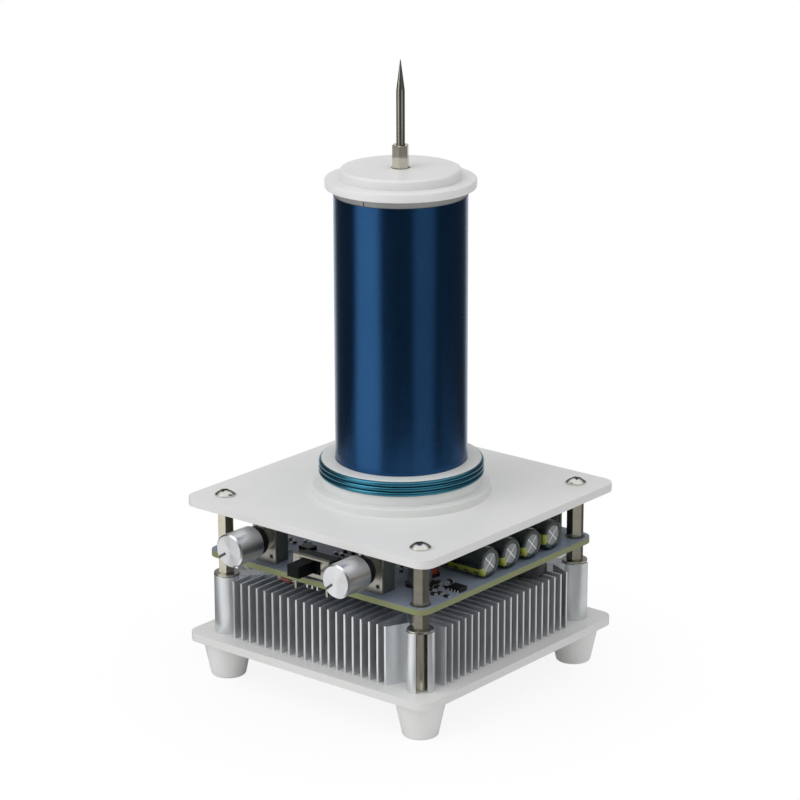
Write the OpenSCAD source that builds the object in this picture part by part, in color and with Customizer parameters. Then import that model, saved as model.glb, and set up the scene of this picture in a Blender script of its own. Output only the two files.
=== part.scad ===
// Desktop resonant transformer: an air-cored coil pair on a stack of two plates, a finned heatsink and a
// driver board. All sizes are in millimetres. The coil's axis is the Z axis, and Z = 0 is the tabletop.
// The controls face -Y and the capacitors' vents face +X.

/* [Plates and posts] */
// Distance between neighbouring posts, centre to centre
post_pitch = 82.5; // [80:0.5:86]
// Distance from a post's centre to the edge of either plate
plate_margin = 10; // [9:0.5:12]
// Thickness of each plate
plate_t = 2.8; // [2.4:0.1:3.4]
// Radius of the plates' corners
plate_corner_r = 5; // [3:0.5:8]
// Height of the feet
foot_h = 12.6; // [11:0.2:16]
// Diameter of a foot where it meets the plate
foot_top_d = 16.8; // [15:0.2:18]
// Diameter of a foot at the tabletop
foot_bottom_d = 11.8; // [11:0.2:13]
// Width of the hexagonal posts across their flats
post_flat = 5; // [4.6:0.1:5.3]
// Height of the short posts between the heatsink and the board
lower_post_h = 6; // [5.5:0.5:8]
// Height of the posts between the board and the upper plate
upper_post_h = 16; // [16:0.5:20]
// Diameter of the washers
washer_d = 8.5; // [7.5:0.1:9]
// Thickness of the washers
washer_t = 0.7; // [0.5:0.1:1]

/* [Heatsink] */
// Height of the extruded heatsink
sink_h = 20; // [16:1:30]
// Distance between neighbouring fins
fin_pitch = 3.42; // [3.3:0.02:3.5]
// Thickness of a fin
fin_t = 0.8; // [0.6:0.1:1.2]
// Upright fins on each side, besides the slanted one
fin_count = 19; // [17:1:19]
// Diameter of the corner bosses
boss_d = 9.3; // [8.8:0.1:9.8]
// Bore of the corner bosses
boss_bore_d = 6.4; // [6.3:0.1:6.8]
// Width of the slot that opens each boss outwards
boss_slot_w = 3.75; // [3:0.05:4.4]
// Thickness of the diagonal arms
arm_t = 5.5; // [4.5:0.1:6]
// Diameter of the solid core
core_d = 34; // [33:0.5:38]

/* [Circuit board] */
// Distance from a post's centre to the board's edge
board_margin = 4.75; // [4:0.05:6]
// Thickness of the board
board_t = 2; // [1.6:0.1:2.4]
// Radius of the board's corners
board_corner_r = 4.5; // [3:0.1:4.7]

/* [Primary] */
// How far the former's flange stands out from its wall
flange_rim = 3.3; // [2.5:0.1:6]
// Thickness of the former's flange
flange_t = 2.8; // [2:0.1:3.5]
// Wall of the former, from the secondary winding's clearance to the primary winding
former_wall = 4.55; // [3.9:0.05:5.1]
// Height of the former above the upper plate
former_h = 11.4; // [10.5:0.1:16]
// Turns of the primary winding
primary_turns = 3; // [2:1:4]
// Rise of the primary winding for each turn
primary_pitch = 1.65; // [1.62:0.01:1.8]
// Diameter of the primary wire, drawn slim so that its turns stand apart
primary_wire_d = 1.2; // [0.8:0.05:1.2]
// Depth of the groove that the primary winding lies in
groove_depth = 0.65; // [0.4:0.05:1]
// Thickness of the former's lip above the winding
former_lip_t = 0.3; // [0.2:0.05:0.6]

/* [Secondary] */
// Diameter over the secondary winding
coil_d = 43.6; // [40:0.2:43.6]
// Height of the secondary tube
tube_h = 102.5; // [80:0.5:140]
// Wall of the secondary tube
tube_wall = 1.6; // [1.2:0.1:2.4]
// Thickness of the varnished winding
winding_t = 0.3; // [0.2:0.05:0.5]

/* [Cap and needle] */
// Diameter of the cap's lower disc
cap_d = 49.2; // [46:0.2:56]
// Thickness of the cap's lower disc
cap_t = 2.9; // [2:0.1:4]
// Diameter of the cap's upper disc
crown_d = 39.4; // [30:0.2:42]
// Thickness of the cap's upper disc
crown_t = 3.3; // [2:0.1:5]
// Height of the hexagonal terminal
terminal_h = 8; // [7:0.5:10]
// Diameter of the needle
needle_d = 2.8; // [2.4:0.1:2.9]
// Height of the needle above its terminal
needle_h = 27.5; // [20:0.5:45]
// Length of the needle's sharpened point
needle_point_h = 9.9; // [6:0.1:14]

/* [Controls] */
// Place of the left shaft along the board's front edge
left_pot_x = -23.1; // [-26:0.1:-20]
// Place of the right shaft along the board's front edge
right_pot_x = 22; // [20:0.1:26]
// Height of the shafts above the board
shaft_rise = 8.3; // [8:0.1:9]
// Diameter of the knobs
knob_d = 11.2; // [10.6:0.1:13]
// Length of the knobs
knob_l = 10.8; // [9:0.1:14]
// Diameter of the shafts
shaft_d = 6; // [5:0.1:6]
// Place of the slide switch's middle along the board's front edge
switch_x = -0.95; // [-2:0.05:1]
// Length of the slide switch
switch_w = 15.1; // [15:0.1:17]
// Width of the sliding lever
lever_w = 5; // [4:0.1:5.2]
// How far the lever stands out of the switch
lever_reach = 7.5; // [4:0.1:9]
// Travel of the lever
lever_travel = 2.5; // [2:0.1:2.6]

/* [Capacitors and jacks] */
// Number of capacitors in the row
can_count = 4; // [2:1:4]
// Diameter of a capacitor over its sleeve
can_d = 10.1; // [8:0.1:11]
// Length of a capacitor
can_l = 20; // [12.5:0.5:22]
// Distance between neighbouring capacitors
can_pitch = 11.4; // [11.2:0.1:12]
// Bore of the direct-current jack
dc_bore_d = 6.3; // [5.5:0.1:6.5]
// Bore of the audio jack
audio_bore_d = 3.6; // [3.5:0.05:4]

/* [Hidden] */
$fn = 64;

// Shared fits and the allowance of every cut
overrun = 0.5;
slip_gap = 0.05;
clear_gap = 0.2;
thread_d = 3;
thread_r = thread_d / 2;
tapped_r = thread_r + slip_gap;
clearance_r = thread_r + clear_gap;

// Levels of the stack, from the tabletop up
base_top = foot_h + plate_t;
sink_top = base_top + sink_h;
board_z = sink_top + washer_t + lower_post_h;
board_top = board_z + board_t;
deck_z = board_top + upper_post_h;
deck_top = deck_z + plate_t;
cap_z = deck_top + tube_h;
crown_z = cap_z + cap_t;
cap_top = crown_z + crown_t;

// Plan sizes of the stack
post_at = post_pitch / 2;
plate_w = post_pitch + 2 * plate_margin;
board_w = post_pitch + 2 * board_margin;
front_edge = -board_w / 2;
right_edge = board_w / 2;
back_edge = board_w / 2;
sink_half = post_at + boss_d / 2;

// Turn of each post about its own axis, as it came to rest when screwed home
post_turns = [22, 9, 41, 50];
post_bevel = 0.35;
post_stud_l = 6;
lower_socket_h = lower_post_h - overrun - post_bevel;
upper_socket_h = upper_post_h - post_stud_l;

// Screws
head_d = 6.9;
head_h = 1.9;
head_rim_h = 0.5;
cross_w = 0.9;
cross_l = 3.6;
cross_depth = 1.1;
foot_head_d = 5.8;
foot_screw_l = 12;
top_screw_l = 8;

// Feet
foot_edge_r = 0.8;
foot_recess_d = 7.4;
foot_recess_h = 8;

// Slanted fin beside each boss, as shares of the heatsink's half width
lean_tip_share = 0.665;
lean_root_share = 0.752;
lean_depth_share = 0.812;

// Former and primary winding
former_gap = 0.1;
former_bore_d = coil_d + 2 * former_gap;
former_d = former_bore_d + 2 * former_wall;
flange_d = former_d + 2 * flange_rim;
former_lip_r = 0.5;
groove_d = former_d - 2 * groove_depth;
groove_top = former_h - former_lip_t;
groove_foot = groove_top - primary_turns * primary_pitch;
lip_edge_r = former_lip_t / 2;
wire_seat_gap = 0.03;
loop_rings = 24;
climb_rings = 3;
climb_angle = 360 * climb_rings / loop_rings;
tube_sides = 6;
bend_rings = 4;
primary_centre_r = (groove_d / 2 + primary_wire_d / 2 + wire_seat_gap) / cos(180 / loop_rings);
primary_end_z = deck_top + groove_top - primary_pitch / 2;
primary_start_z = deck_top + groove_foot + primary_pitch / 2;
primary_bend_r = 1.3;
primary_start_azimuth = 163;
primary_return_azimuth = primary_start_azimuth - climb_angle;
return_r = (groove_d + former_bore_d) / 4;
lead_hole_r = 0.95;

// Secondary
tube_r = coil_d / 2 - winding_t;
tube_bore_r = tube_r - tube_wall;
winding_start_h = 3.6;
bare_band_h = 2.4;
fine_wire_r = 0.12;
fine_hole_r = 0.2;
lower_lead_azimuth = 100;
upper_lead_azimuth = -84;
fine_lead_r = coil_d / 2 - winding_t / 2;

// Plugs inside the secondary tube
plug_h = 6;
spigot_h = 4;
spigot_notch_w = 1.2;
spigot_notch_depth = 1.6;
plug_screw_l = 8;

// Terminal and needle
terminal_seat_h = 0.5;
terminal_seat_gap = 0.35;
terminal_z = cap_top - terminal_seat_h;
terminal_top = terminal_z + terminal_h;
terminal_screw_l = 12;
needle_socket_h = 3.6;
needle_tip_r = 0.12;

// Potentiometers, measured forwards from the board's front edge or upwards from the shaft
pot_setback = 3.3;
pot_w = 9.8;
pot_depth = 6.5;
pot_top_rise = 5.4;
pot_foot_gap = 0.1;
pot_face_t = 0.8;
pot_side_step = 0.25;
bush_d = 7.5;
bush_l = 1.6;
rivet_r = 0.65;
rivet_x = 3.05;
rivet_low = 5.9;
rivet_high = 3.4;
rotor_d = 7.8;
rotor_t = 2.4;
rotor_gap = 0.2;
pot_pin_pitch = 2.5;
pot_pin_w = 0.6;
pot_pin_t = 0.4;
pot_pin_inset = 1.6;
pin_tail_l = 2;
pin_hole_r = 0.6;

// Knobs, measured along the shaft from the potentiometer's face
knob_rear = 6.3;
knob_chamfer = 0.5;
knob_dish = 0.35;
knob_wall = 0.75;
knob_end_t = 1.7;
pointer_w = 0.85;
pointer_depth = 0.45;
pointer_from_share = 0.35;
left_pointer_angle = 214;
right_pointer_angle = 219;
insert_rear = 3.3;
insert_end_gap = 0.1;
insert_skirt_t = 2.4;
shaft_end_gap = 0.3;

// Slide switch, measured from the board's front edge and top
switch_setback = 0.9;
switch_h = 7.1;
switch_foot_h = 1;
switch_frame_t = 0.5;
switch_lip = 1.6;
switch_corner_r = 0.7;
switch_depth = 6.6;
switch_side_step = 0.3;
lever_h = 4.1;
lever_rise = 2.05;
lever_gap = 0.3;
carriage_w = 8.9;
carriage_depth = 3.2;
slide_gap = 0.2;
switch_pin_pitch = 2.15;
switch_pin_w = 0.5;
switch_pin_t = 0.5;
switch_pin_inset = 1;
frame_tab_w = 0.8;
frame_tab_tail_l = 3;
frame_tab_share = 0.44;

// Capacitors
can_edge_gap = 2.4;
can_row_share = -0.0913;
sleeve_t = 0.15;
sleeve_curl = 0.5;
vent_d_share = 0.66;
vent_score_share = 0.85;
vent_score_depth = 0.12;
vent_score_w = 0.3;
crimp_rise = 3.4;
crimp_depth = 0.6;
crimp_w = 1;
bung_h = 2.6;
bung_wall = 0.8;
can_lead_r = 0.3;
can_lead_pitch = 5;
can_lead_run = 1.6;
lead_hole_gap = 0.1;
lead_tail_l = 1.6;

// Chips and their places on the board, as shares of the board's width, with a turn in degrees
chip_l = 4.9;
chip_w = 3.9;
chip_t = 1.4;
chip_lift = 0.15;
chip_lead_pitch = 1.27;
chip_lead_w = 0.42;
chip_lead_t = 0.2;
chip_lead_reach = 1.05;
chip_foot_l = 0.55;
chip_place_shares = [[0.463, -0.262, 0], [-0.21, -0.277, 0], [-0.05, 0.02, 90], [0.06, 0.24, 0]];

// Small surface-mounted parts: places as shares of the board's width, with a turn in degrees
small_l = 2.6;
small_w = 1.5;
small_t = 0.65;
small_end_l = 0.45;
small_place_shares = [
    [0.425, -0.348, 0], [0.475, -0.336, 0], [0.365, -0.244, 0], [-0.3, -0.254, 90], [-0.262, -0.33, 0],
    [-0.068, -0.243, 0], [-0.03, -0.246, 0], [0.16, -0.2, 90], [0.2, -0.24, 0], [-0.37, -0.24, 90],
    [-0.15, 0.1, 0], [-0.15, 0.16, 0], [0.13, 0.09, 90], [-0.28, 0.02, 0]
];

// Round reservoir capacitor beside the front right post
reservoir_x_share = 0.329;
reservoir_y_share = -0.304;
reservoir_d = 8;
reservoir_h = 9.4;
reservoir_base_w = 8.3;
reservoir_base_t = 1;
reservoir_neck = 0.35;

// Choke under the board
choke_x_share = 0.387;
choke_y_share = 0.228;
choke_d = 14.6;
choke_h = 5.8;
choke_edge_r = 0.5;
choke_pin_r = 0.4;
choke_pin_pitch = 7.5;

// Signal diode under the board's front edge
diode_x_share = -0.132;
diode_inset = 1.9;
diode_l = 4;
diode_d = 1.9;
diode_lead_r = 0.25;
diode_span = 7.6;
diode_drop = 1.3;

// Power transistors flat on the heatsink's core
transistor_at = 6;
transistor_y = -10.2;
transistor_pad_t = 0.25;
tab_w = 10;
tab_l = 6.4;
tab_t = 1.3;
tab_under_l = 8;
tab_hole_from_end = 2.8;
case_l = 9;
case_t = 4.4;
transistor_lead_w = 0.8;
transistor_lead_t = 0.5;
transistor_lead_pitch = 2.54;
transistor_lead_run = 2.6;
transistor_lead_rise = 2.2;
transistor_screw_l = 8;

// Jacks on the board's back edge
dc_x_share = -0.26;
dc_w = 9;
dc_h = 11;
dc_l = 14;
dc_bore_l = 9.5;
dc_pin_d = 2;
dc_nose_t = 2.6;
dc_step = 2;
audio_x_share = 0.2;
audio_w = 6.2;
audio_h = 5;
audio_l = 12;
audio_nose_d = 6;
audio_nose_l = 2;
audio_bore_l = 11;
jack_axis_rise = 6.4;
jack_pin_w = 1;
jack_pin_t = 0.5;
jack_pin_inset = 2;

// Outlines

function arc_points(centre, r, from, to, steps) =
    [for (i = [0:steps]) let (a = from + (to - from) * i / steps) centre + r * [cos(a), sin(a)]];

module rounded_square(side, r) {
    square([side - 2 * r, side], center = true);
    square([side, side - 2 * r], center = true);
    for (sx = [-1, 1], sy = [-1, 1]) translate([sx, sy] * (side / 2 - r)) circle(r);
}

module at_posts() {
    for (i = [0:3]) {
        spot = [[1, -1], [-1, -1], [-1, 1], [1, 1]][i];
        translate([spot[0] * post_at, spot[1] * post_at, 0]) rotate([0, 0, post_turns[i]]) children();
    }
}

// Points on the board that follow from the parts' own sizes

function can_y(i) = can_row_share * board_w + i * can_pitch;
can_axis_z = board_top + can_d / 2;
can_vent_x = right_edge - can_edge_gap;
can_lead_x = can_vent_x - can_l - can_lead_run;
can_lead_points = [
    for (i = [0:can_count - 1], s = [-1, 1]) [can_lead_x, can_y(i) + s * can_lead_pitch / 2]
];
pot_front_y = front_edge + pot_setback;
pot_xs = [left_pot_x, right_pot_x];
pot_pin_y = pot_front_y + pot_depth - pot_pin_inset;
pot_pin_points = [for (x = pot_xs, k = [-1:1]) [x + k * pot_pin_pitch, pot_pin_y]];
switch_front_y = front_edge + switch_setback;
switch_pin_y = switch_front_y + switch_pin_inset;
lever_rest_x = switch_x - lever_travel / 2 + 0.4 * lever_gap;
switch_pin_middle_x = lever_rest_x + lever_travel / 2 - lever_gap;
switch_pin_points = [for (k = [-1:1]) [switch_pin_middle_x + k * switch_pin_pitch, switch_pin_y]];
frame_tab_points = [
    for (s = [-1, 1]) [switch_x + s * frame_tab_share * switch_w, switch_front_y + switch_frame_t / 2]
];
choke_spot = [choke_x_share, choke_y_share] * board_w;
choke_pin_points = [for (s = [-1, 1]) choke_spot + [s * choke_pin_pitch / 2, 0]];
diode_y = front_edge + diode_inset;
diode_pin_points = [for (s = [-1, 1]) [diode_x_share * board_w + s * diode_span / 2, diode_y]];
case_y = transistor_y + tab_l;
transistor_lead_y = case_y + case_l + transistor_lead_run;
transistor_pin_points = [
    for (s = [-1, 1], k = [-1:1]) [s * transistor_at + k * transistor_lead_pitch, transistor_lead_y]
];
dc_x = dc_x_share * board_w;
audio_x = audio_x_share * board_w;
jack_pin_points = [
    [dc_x, back_edge - dc_l + jack_pin_inset], [dc_x, back_edge - dc_l / 2],
    [audio_x - audio_w / 4, back_edge - audio_l + jack_pin_inset],
    [audio_x + audio_w / 4, back_edge - audio_l / 2]
];

// Fasteners and posts

module cross_recess(top_z) {
    for (turn = [0, 90]) rotate([0, 0, turn]) translate([-cross_l / 2, -cross_w / 2, top_z - cross_depth])
        cube([cross_l, cross_w, cross_depth + overrun]);
}

// A screw with its thread down from z = 0 and its domed head above
module domed_screw(length, d = head_d) {
    dome_h = head_h - head_rim_h;
    dome_r = (d * d / 4 + dome_h * dome_h) / (2 * dome_h);
    rim_angle = asin(d / 2 / dome_r);
    difference() {
        union() {
            rotate_extrude() polygon(concat(
                [[0, 0], [d / 2, 0]],
                [for (i = [0:8]) [
                    dome_r * sin(rim_angle * (1 - i / 8)),
                    head_h - dome_r + dome_r * cos(rim_angle * (1 - i / 8))
                ]]
            ));
            translate([0, 0, -length]) cylinder(h = length + overrun, r = thread_r);
        }
        cross_recess(head_h);
    }
}

// A hexagonal post with bevelled ends, a tapped socket at the top and a stud or a socket at the bottom
module hex_post(h, stud_l, socket_h) {
    corner_r = post_flat / 2 / cos(30);
    difference() {
        union() {
            intersection() {
                cylinder(h = h, r = corner_r, $fn = 6);
                rotate_extrude() polygon([
                    [0, 0], [corner_r - post_bevel, 0], [corner_r, post_bevel * tan(40)],
                    [corner_r, h - post_bevel * tan(40)], [corner_r - post_bevel, h], [0, h]
                ]);
            }
            if (stud_l > 0) translate([0, 0, -stud_l]) cylinder(h = stud_l + overrun, r = thread_r);
        }
        translate([0, 0, h - socket_h]) cylinder(h = socket_h + overrun, r = tapped_r);
        if (stud_l == 0) translate([0, 0, -overrun]) cylinder(h = socket_h + overrun, r = tapped_r);
    }
}

// The stack of plates, feet and posts

module feet() {
    color("whitesmoke") at_posts() difference() {
        rotate_extrude() polygon(concat(
            [[0, foot_h], [0, 0]],
            arc_points([foot_bottom_d / 2 - foot_edge_r, foot_edge_r], foot_edge_r, -90, -12, 5),
            [[foot_top_d / 2, foot_h]]
        ));
        translate([0, 0, -overrun]) {
            cylinder(h = foot_h + 2 * overrun, r = clearance_r);
            cylinder(h = foot_recess_h + overrun, d = foot_recess_d);
        }
    }
}

module foot_screws() {
    color("silver") at_posts() translate([0, 0, foot_recess_h]) mirror([0, 0, 1])
        domed_screw(foot_screw_l, foot_head_d);
}

module base_plate() {
    color("white") translate([0, 0, foot_h]) linear_extrude(plate_t) difference() {
        rounded_square(plate_w, plate_corner_r);
        at_posts() circle(clearance_r);
    }
}

// One quarter of the extrusion: its fins, the slanted fin, an arm and a boss
module sink_quarter() {
    for (k = [0:fin_count - 1]) {
        x = (k - (fin_count + 1) / 2) * fin_pitch;
        root = max(abs(x), core_d / 3);
        translate([x - fin_t / 2, -sink_half]) square([fin_t, sink_half - root]);
    }
    translate([lean_tip_share * sink_half - fin_t / 2, -sink_half]) polygon([
        [0, 0], [fin_t, 0],
        [(lean_root_share - lean_tip_share) * sink_half + fin_t, (1 - lean_depth_share) * sink_half],
        [(lean_root_share - lean_tip_share) * sink_half, (1 - lean_depth_share) * sink_half]
    ]);
    rotate(-45) translate([0, -arm_t / 2]) square([post_at * sqrt(2), arm_t]);
    translate([post_at, -post_at]) circle(d = boss_d);
}

module heatsink() {
    color("silver") translate([0, 0, base_top]) linear_extrude(sink_h) difference() {
        union() {
            circle(d = core_d);
            for (turn = [0:90:270]) rotate(turn) sink_quarter();
        }
        for (turn = [0:90:270]) rotate(turn - 45) translate([post_at * sqrt(2), 0]) {
            circle(d = boss_bore_d);
            translate([0, -boss_slot_w / 2]) square([boss_d, boss_slot_w]);
        }
        for (s = [-1, 1]) translate([s * transistor_at, transistor_y + tab_hole_from_end]) circle(tapped_r);
    }
}

module boss_posts() {
    color("tan") at_posts() translate([0, 0, base_top])
        hex_post(sink_h, 0, sink_h / 2 - overrun);
}

module washers() {
    color("silver") at_posts() translate([0, 0, sink_top]) difference() {
        cylinder(h = washer_t, d = washer_d);
        translate([0, 0, -overrun]) cylinder(h = washer_t + 2 * overrun, r = clearance_r);
    }
}

module lower_posts() {
    color("tan") at_posts() translate([0, 0, sink_top + washer_t])
        hex_post(lower_post_h, post_stud_l, lower_socket_h);
}

module circuit_board() {
    color("lightsteelblue") translate([0, 0, board_z]) linear_extrude(board_t) difference() {
        rounded_square(board_w, board_corner_r);
        at_posts() circle(clearance_r);
        for (p = can_lead_points) translate(p) circle(can_lead_r + lead_hole_gap);
        for (p = concat(pot_pin_points, switch_pin_points, transistor_pin_points, jack_pin_points))
            translate(p) circle(pin_hole_r);
        for (p = frame_tab_points) translate(p) circle(pin_hole_r + lead_hole_gap);
        for (p = choke_pin_points) translate(p) circle(choke_pin_r + lead_hole_gap);
        for (p = diode_pin_points) translate(p) circle(diode_lead_r + lead_hole_gap);
    }
}

module upper_posts() {
    color("tan") at_posts() translate([0, 0, board_top])
        hex_post(upper_post_h, post_stud_l, upper_socket_h);
}

module top_plate() {
    color("white") translate([0, 0, deck_z]) linear_extrude(plate_t) difference() {
        rounded_square(plate_w, plate_corner_r);
        at_posts() circle(clearance_r);
        circle(clearance_r);
        primary_lead_holes();
        rotate(lower_lead_azimuth) translate([fine_lead_r, 0]) circle(fine_hole_r);
    }
}

module top_screws() {
    color("silver") at_posts() translate([0, 0, deck_top]) domed_screw(top_screw_l);
}

// Controls. A control's own frame has z pointing at the user and y up, with its origin on the shaft's axis
// in the plane of its face.

module at_pot(x) {
    translate([x, pot_front_y, board_top + shaft_rise]) rotate([90, 0, 0]) children();
}

module pot_face() {
    difference() {
        union() {
            translate([-pot_w / 2, pot_foot_gap - shaft_rise, -pot_face_t])
                cube([pot_w, shaft_rise - pot_foot_gap + pot_top_rise, pot_face_t]);
            translate([0, 0, -pot_face_t]) cylinder(h = pot_face_t + bush_l, d = bush_d);
        }
        translate([0, 0, -pot_face_t - overrun])
            cylinder(h = pot_face_t + bush_l + 2 * overrun, r = shaft_d / 2 + slip_gap);
        pot_rivets(slip_gap);
    }
}

module pot_rivets(gap) {
    for (spot = [[rivet_x, -rivet_low], [-rivet_x, rivet_high]])
        translate([spot[0], spot[1], -pot_face_t - overrun])
            cylinder(h = pot_face_t + 2 * overrun, r = rivet_r + gap);
}

module pot_body() {
    body_w = pot_w - 2 * pot_side_step;
    well_depth = rotor_t + 2 * rotor_gap;
    difference() {
        translate([-body_w / 2, -shaft_rise, -pot_depth])
            cube([body_w, shaft_rise + pot_top_rise - pot_side_step, pot_depth - pot_face_t]);
        translate([0, 0, -pot_face_t - well_depth])
            cylinder(h = well_depth + overrun, d = rotor_d + 2 * rotor_gap);
    }
    intersection() {
        pot_rivets(0);
        translate([-pot_w, -pot_w, -pot_face_t - overrun])
            cube([2 * pot_w, 2 * pot_w, pot_face_t + overrun + slip_gap]);
    }
}

// The shaft and its rotor, which carries the wiper
module pot_shaft() {
    rotor_z = -pot_face_t - rotor_gap;
    shaft_end_z = knob_rear + knob_l - knob_end_t - shaft_end_gap - insert_end_gap;
    translate([0, 0, rotor_z - rotor_t]) cylinder(h = rotor_t, d = rotor_d);
    translate([0, 0, rotor_z - overrun]) cylinder(h = shaft_end_z - rotor_z + overrun, d = shaft_d);
}

module knob_insert() {
    insert_l = knob_rear + knob_l - knob_end_t - insert_end_gap - insert_rear;
    translate([0, 0, insert_rear]) difference() {
        union() {
            cylinder(h = insert_l, r = knob_d / 2 - knob_wall - slip_gap);
            cylinder(h = insert_skirt_t, r = knob_d / 2 - knob_wall);
        }
        translate([0, 0, -overrun])
            cylinder(h = insert_l - insert_end_gap + overrun, r = shaft_d / 2 + slip_gap);
    }
}

module knob(pointer_angle) {
    translate([0, 0, knob_rear]) difference() {
        rotate_extrude() polygon([
            [knob_d / 2 - knob_wall, 0], [knob_d / 2, 0], [knob_d / 2, knob_l - knob_chamfer],
            [knob_d / 2 - knob_chamfer, knob_l], [0, knob_l - knob_dish],
            [0, knob_l - knob_end_t], [knob_d / 2 - knob_wall, knob_l - knob_end_t]
        ]);
        rotate([0, 0, pointer_angle])
            translate([pointer_from_share * knob_d / 2, -pointer_w / 2, knob_l - pointer_depth])
                cube([knob_d / 2, pointer_w, pointer_depth + overrun]);
    }
}

module left_pot_face() { color("silver") at_pot(left_pot_x) pot_face(); }
module left_pot_body() { color("darkslategray") at_pot(left_pot_x) pot_body(); }
module left_pot_shaft() { color("silver") at_pot(left_pot_x) pot_shaft(); }
module left_knob_insert() { color("black") at_pot(left_pot_x) knob_insert(); }
module left_knob() { color("gainsboro") at_pot(left_pot_x) knob(left_pointer_angle); }
module right_pot_face() { color("silver") at_pot(right_pot_x) pot_face(); }
module right_pot_body() { color("darkslategray") at_pot(right_pot_x) pot_body(); }
module right_pot_shaft() { color("silver") at_pot(right_pot_x) pot_shaft(); }
module right_knob_insert() { color("black") at_pot(right_pot_x) knob_insert(); }
module right_knob() { color("gainsboro") at_pot(right_pot_x) knob(right_pointer_angle); }

// A flat solder pin through the board, standing on p
module board_pin(p, w, t, tail) {
    translate([p[0] - w / 2, p[1] - t / 2, board_z - tail]) cube([w, t, board_t + tail]);
}

module pot_pins() {
    color("silver") for (p = pot_pin_points) board_pin(p, pot_pin_w, pot_pin_t, pin_tail_l);
}

// The switch's own frame has z pointing at the user and y up from the board's top, in the plane of its face
module at_switch(x) {
    translate([x, switch_front_y, board_top]) rotate([90, 0, 0]) children();
}

slot_h = lever_h + 2 * slide_gap;
slot_w = lever_w + lever_travel + 2 * lever_gap;
slot_x = lever_rest_x - switch_x - lever_w / 2 - lever_gap;

module switch_frame() {
    color("silver") at_switch(switch_x) difference() {
        rotate([0, -90, 0]) translate([0, 0, -switch_w / 2]) linear_extrude(switch_w) polygon(concat(
            [[0, switch_foot_h / 2]],
            arc_points([-switch_corner_r, switch_h - switch_corner_r], switch_corner_r, 0, 90, 6),
            [[-switch_lip, switch_h], [-switch_lip, switch_h - switch_frame_t]],
            arc_points(
                [-switch_corner_r, switch_h - switch_corner_r], switch_corner_r - switch_frame_t, 90, 0, 6
            ),
            [[-switch_frame_t, switch_foot_h / 2]]
        ));
        translate([slot_x, lever_rise - slide_gap, -switch_frame_t - overrun])
            cube([slot_w, slot_h, switch_frame_t + 2 * overrun]);
    }
    color("silver") for (p = frame_tab_points)
        translate([p[0] - frame_tab_w / 2, switch_front_y, board_z - frame_tab_tail_l])
            cube([frame_tab_w, switch_frame_t, board_t + frame_tab_tail_l + switch_foot_h]);
}

module switch_body() {
    body_w = switch_w - 2 * switch_side_step;
    body_top = switch_h - switch_frame_t;
    cavity_w = carriage_w + lever_travel + 2 * lever_gap;
    cavity_x = lever_rest_x - switch_x - carriage_w / 2 - lever_gap;
    color("darkslategray") at_switch(switch_x) difference() {
        translate([-body_w / 2, switch_foot_h, -switch_depth])
            cube([body_w, body_top - switch_foot_h, switch_depth - switch_frame_t]);
        translate([cavity_x, lever_rise - slide_gap, -switch_frame_t - carriage_depth - 2 * slide_gap])
            cube([cavity_w, slot_h, carriage_depth + 2 * slide_gap + overrun]);
        translate([-switch_w, body_top - slide_gap, -switch_corner_r])
            cube([2 * switch_w, switch_frame_t, switch_corner_r]);
    }
}

module switch_base() {
    body_w = switch_w - 2 * switch_side_step;
    color("sienna") at_switch(switch_x) difference() {
        translate([-body_w / 2, 0, -switch_depth])
            cube([body_w, switch_foot_h, switch_depth - switch_frame_t - slip_gap]);
        for (p = switch_pin_points)
            translate([p[0] - switch_x, switch_foot_h / 2, switch_front_y - p[1]]) cube([
                switch_pin_w + 2 * slip_gap, switch_foot_h + 2 * overrun, switch_pin_t + 2 * slip_gap
            ], center = true);
    }
}

module switch_lever() {
    color("black") at_switch(lever_rest_x) {
        translate([-lever_w / 2, lever_rise, -switch_frame_t - slide_gap - overrun])
            cube([lever_w, lever_h, lever_reach + switch_frame_t + slide_gap + overrun]);
        translate([-carriage_w / 2, lever_rise, -switch_frame_t - slide_gap - carriage_depth])
            cube([carriage_w, lever_h, carriage_depth]);
    }
}

module switch_pins() {
    rise = switch_foot_h / 2;
    color("silver") for (p = switch_pin_points)
        translate([0, 0, rise]) board_pin(p, switch_pin_w, switch_pin_t, pin_tail_l + rise);
}

// Capacitors. A capacitor's own frame has z along its axis and its vented end at z = 0.

module at_cans() {
    for (i = [0:can_count - 1])
        translate([can_vent_x, can_y(i), can_axis_z]) rotate([0, 90, 0]) children();
}

can_wall_r = can_d / 2 - sleeve_t - slip_gap;
vent_r = vent_d_share * can_d / 2;

module capacitor_sleeves() {
    r = can_d / 2;
    inner_r = r - sleeve_t;
    color("darkslategray") at_cans() rotate_extrude() polygon([
        [r, -can_l + crimp_w / 2], [r, -sleeve_curl], [r - sleeve_curl, 0], [vent_r, 0],
        [vent_r, -sleeve_t], [inner_r - sleeve_curl, -sleeve_t], [inner_r, -sleeve_t - sleeve_curl],
        [inner_r, -can_l + crimp_w / 2]
    ]);
}

module capacitor_cans() {
    r = can_wall_r;
    end_z = -sleeve_t - slip_gap;
    base_z = -can_l + crimp_w;
    color("silver") at_cans() difference() {
        rotate_extrude() polygon([
            [0, end_z], [r - sleeve_curl, end_z], [r, end_z - sleeve_curl],
            [r, base_z + crimp_rise], [r - crimp_depth, base_z + crimp_rise - crimp_w / 2],
            [r, base_z + crimp_rise - crimp_w], [r, base_z + crimp_w / 2], [r - bung_wall / 2, base_z],
            [r - bung_wall, base_z], [r - bung_wall, base_z + bung_h], [0, base_z + bung_h]
        ]);
        for (turn = [45, 135]) rotate([0, 0, turn])
            translate([-vent_r * vent_score_share, -vent_score_w / 2, end_z - vent_score_depth])
                cube([2 * vent_r * vent_score_share, vent_score_w, vent_score_depth + overrun]);
    }
}

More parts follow.
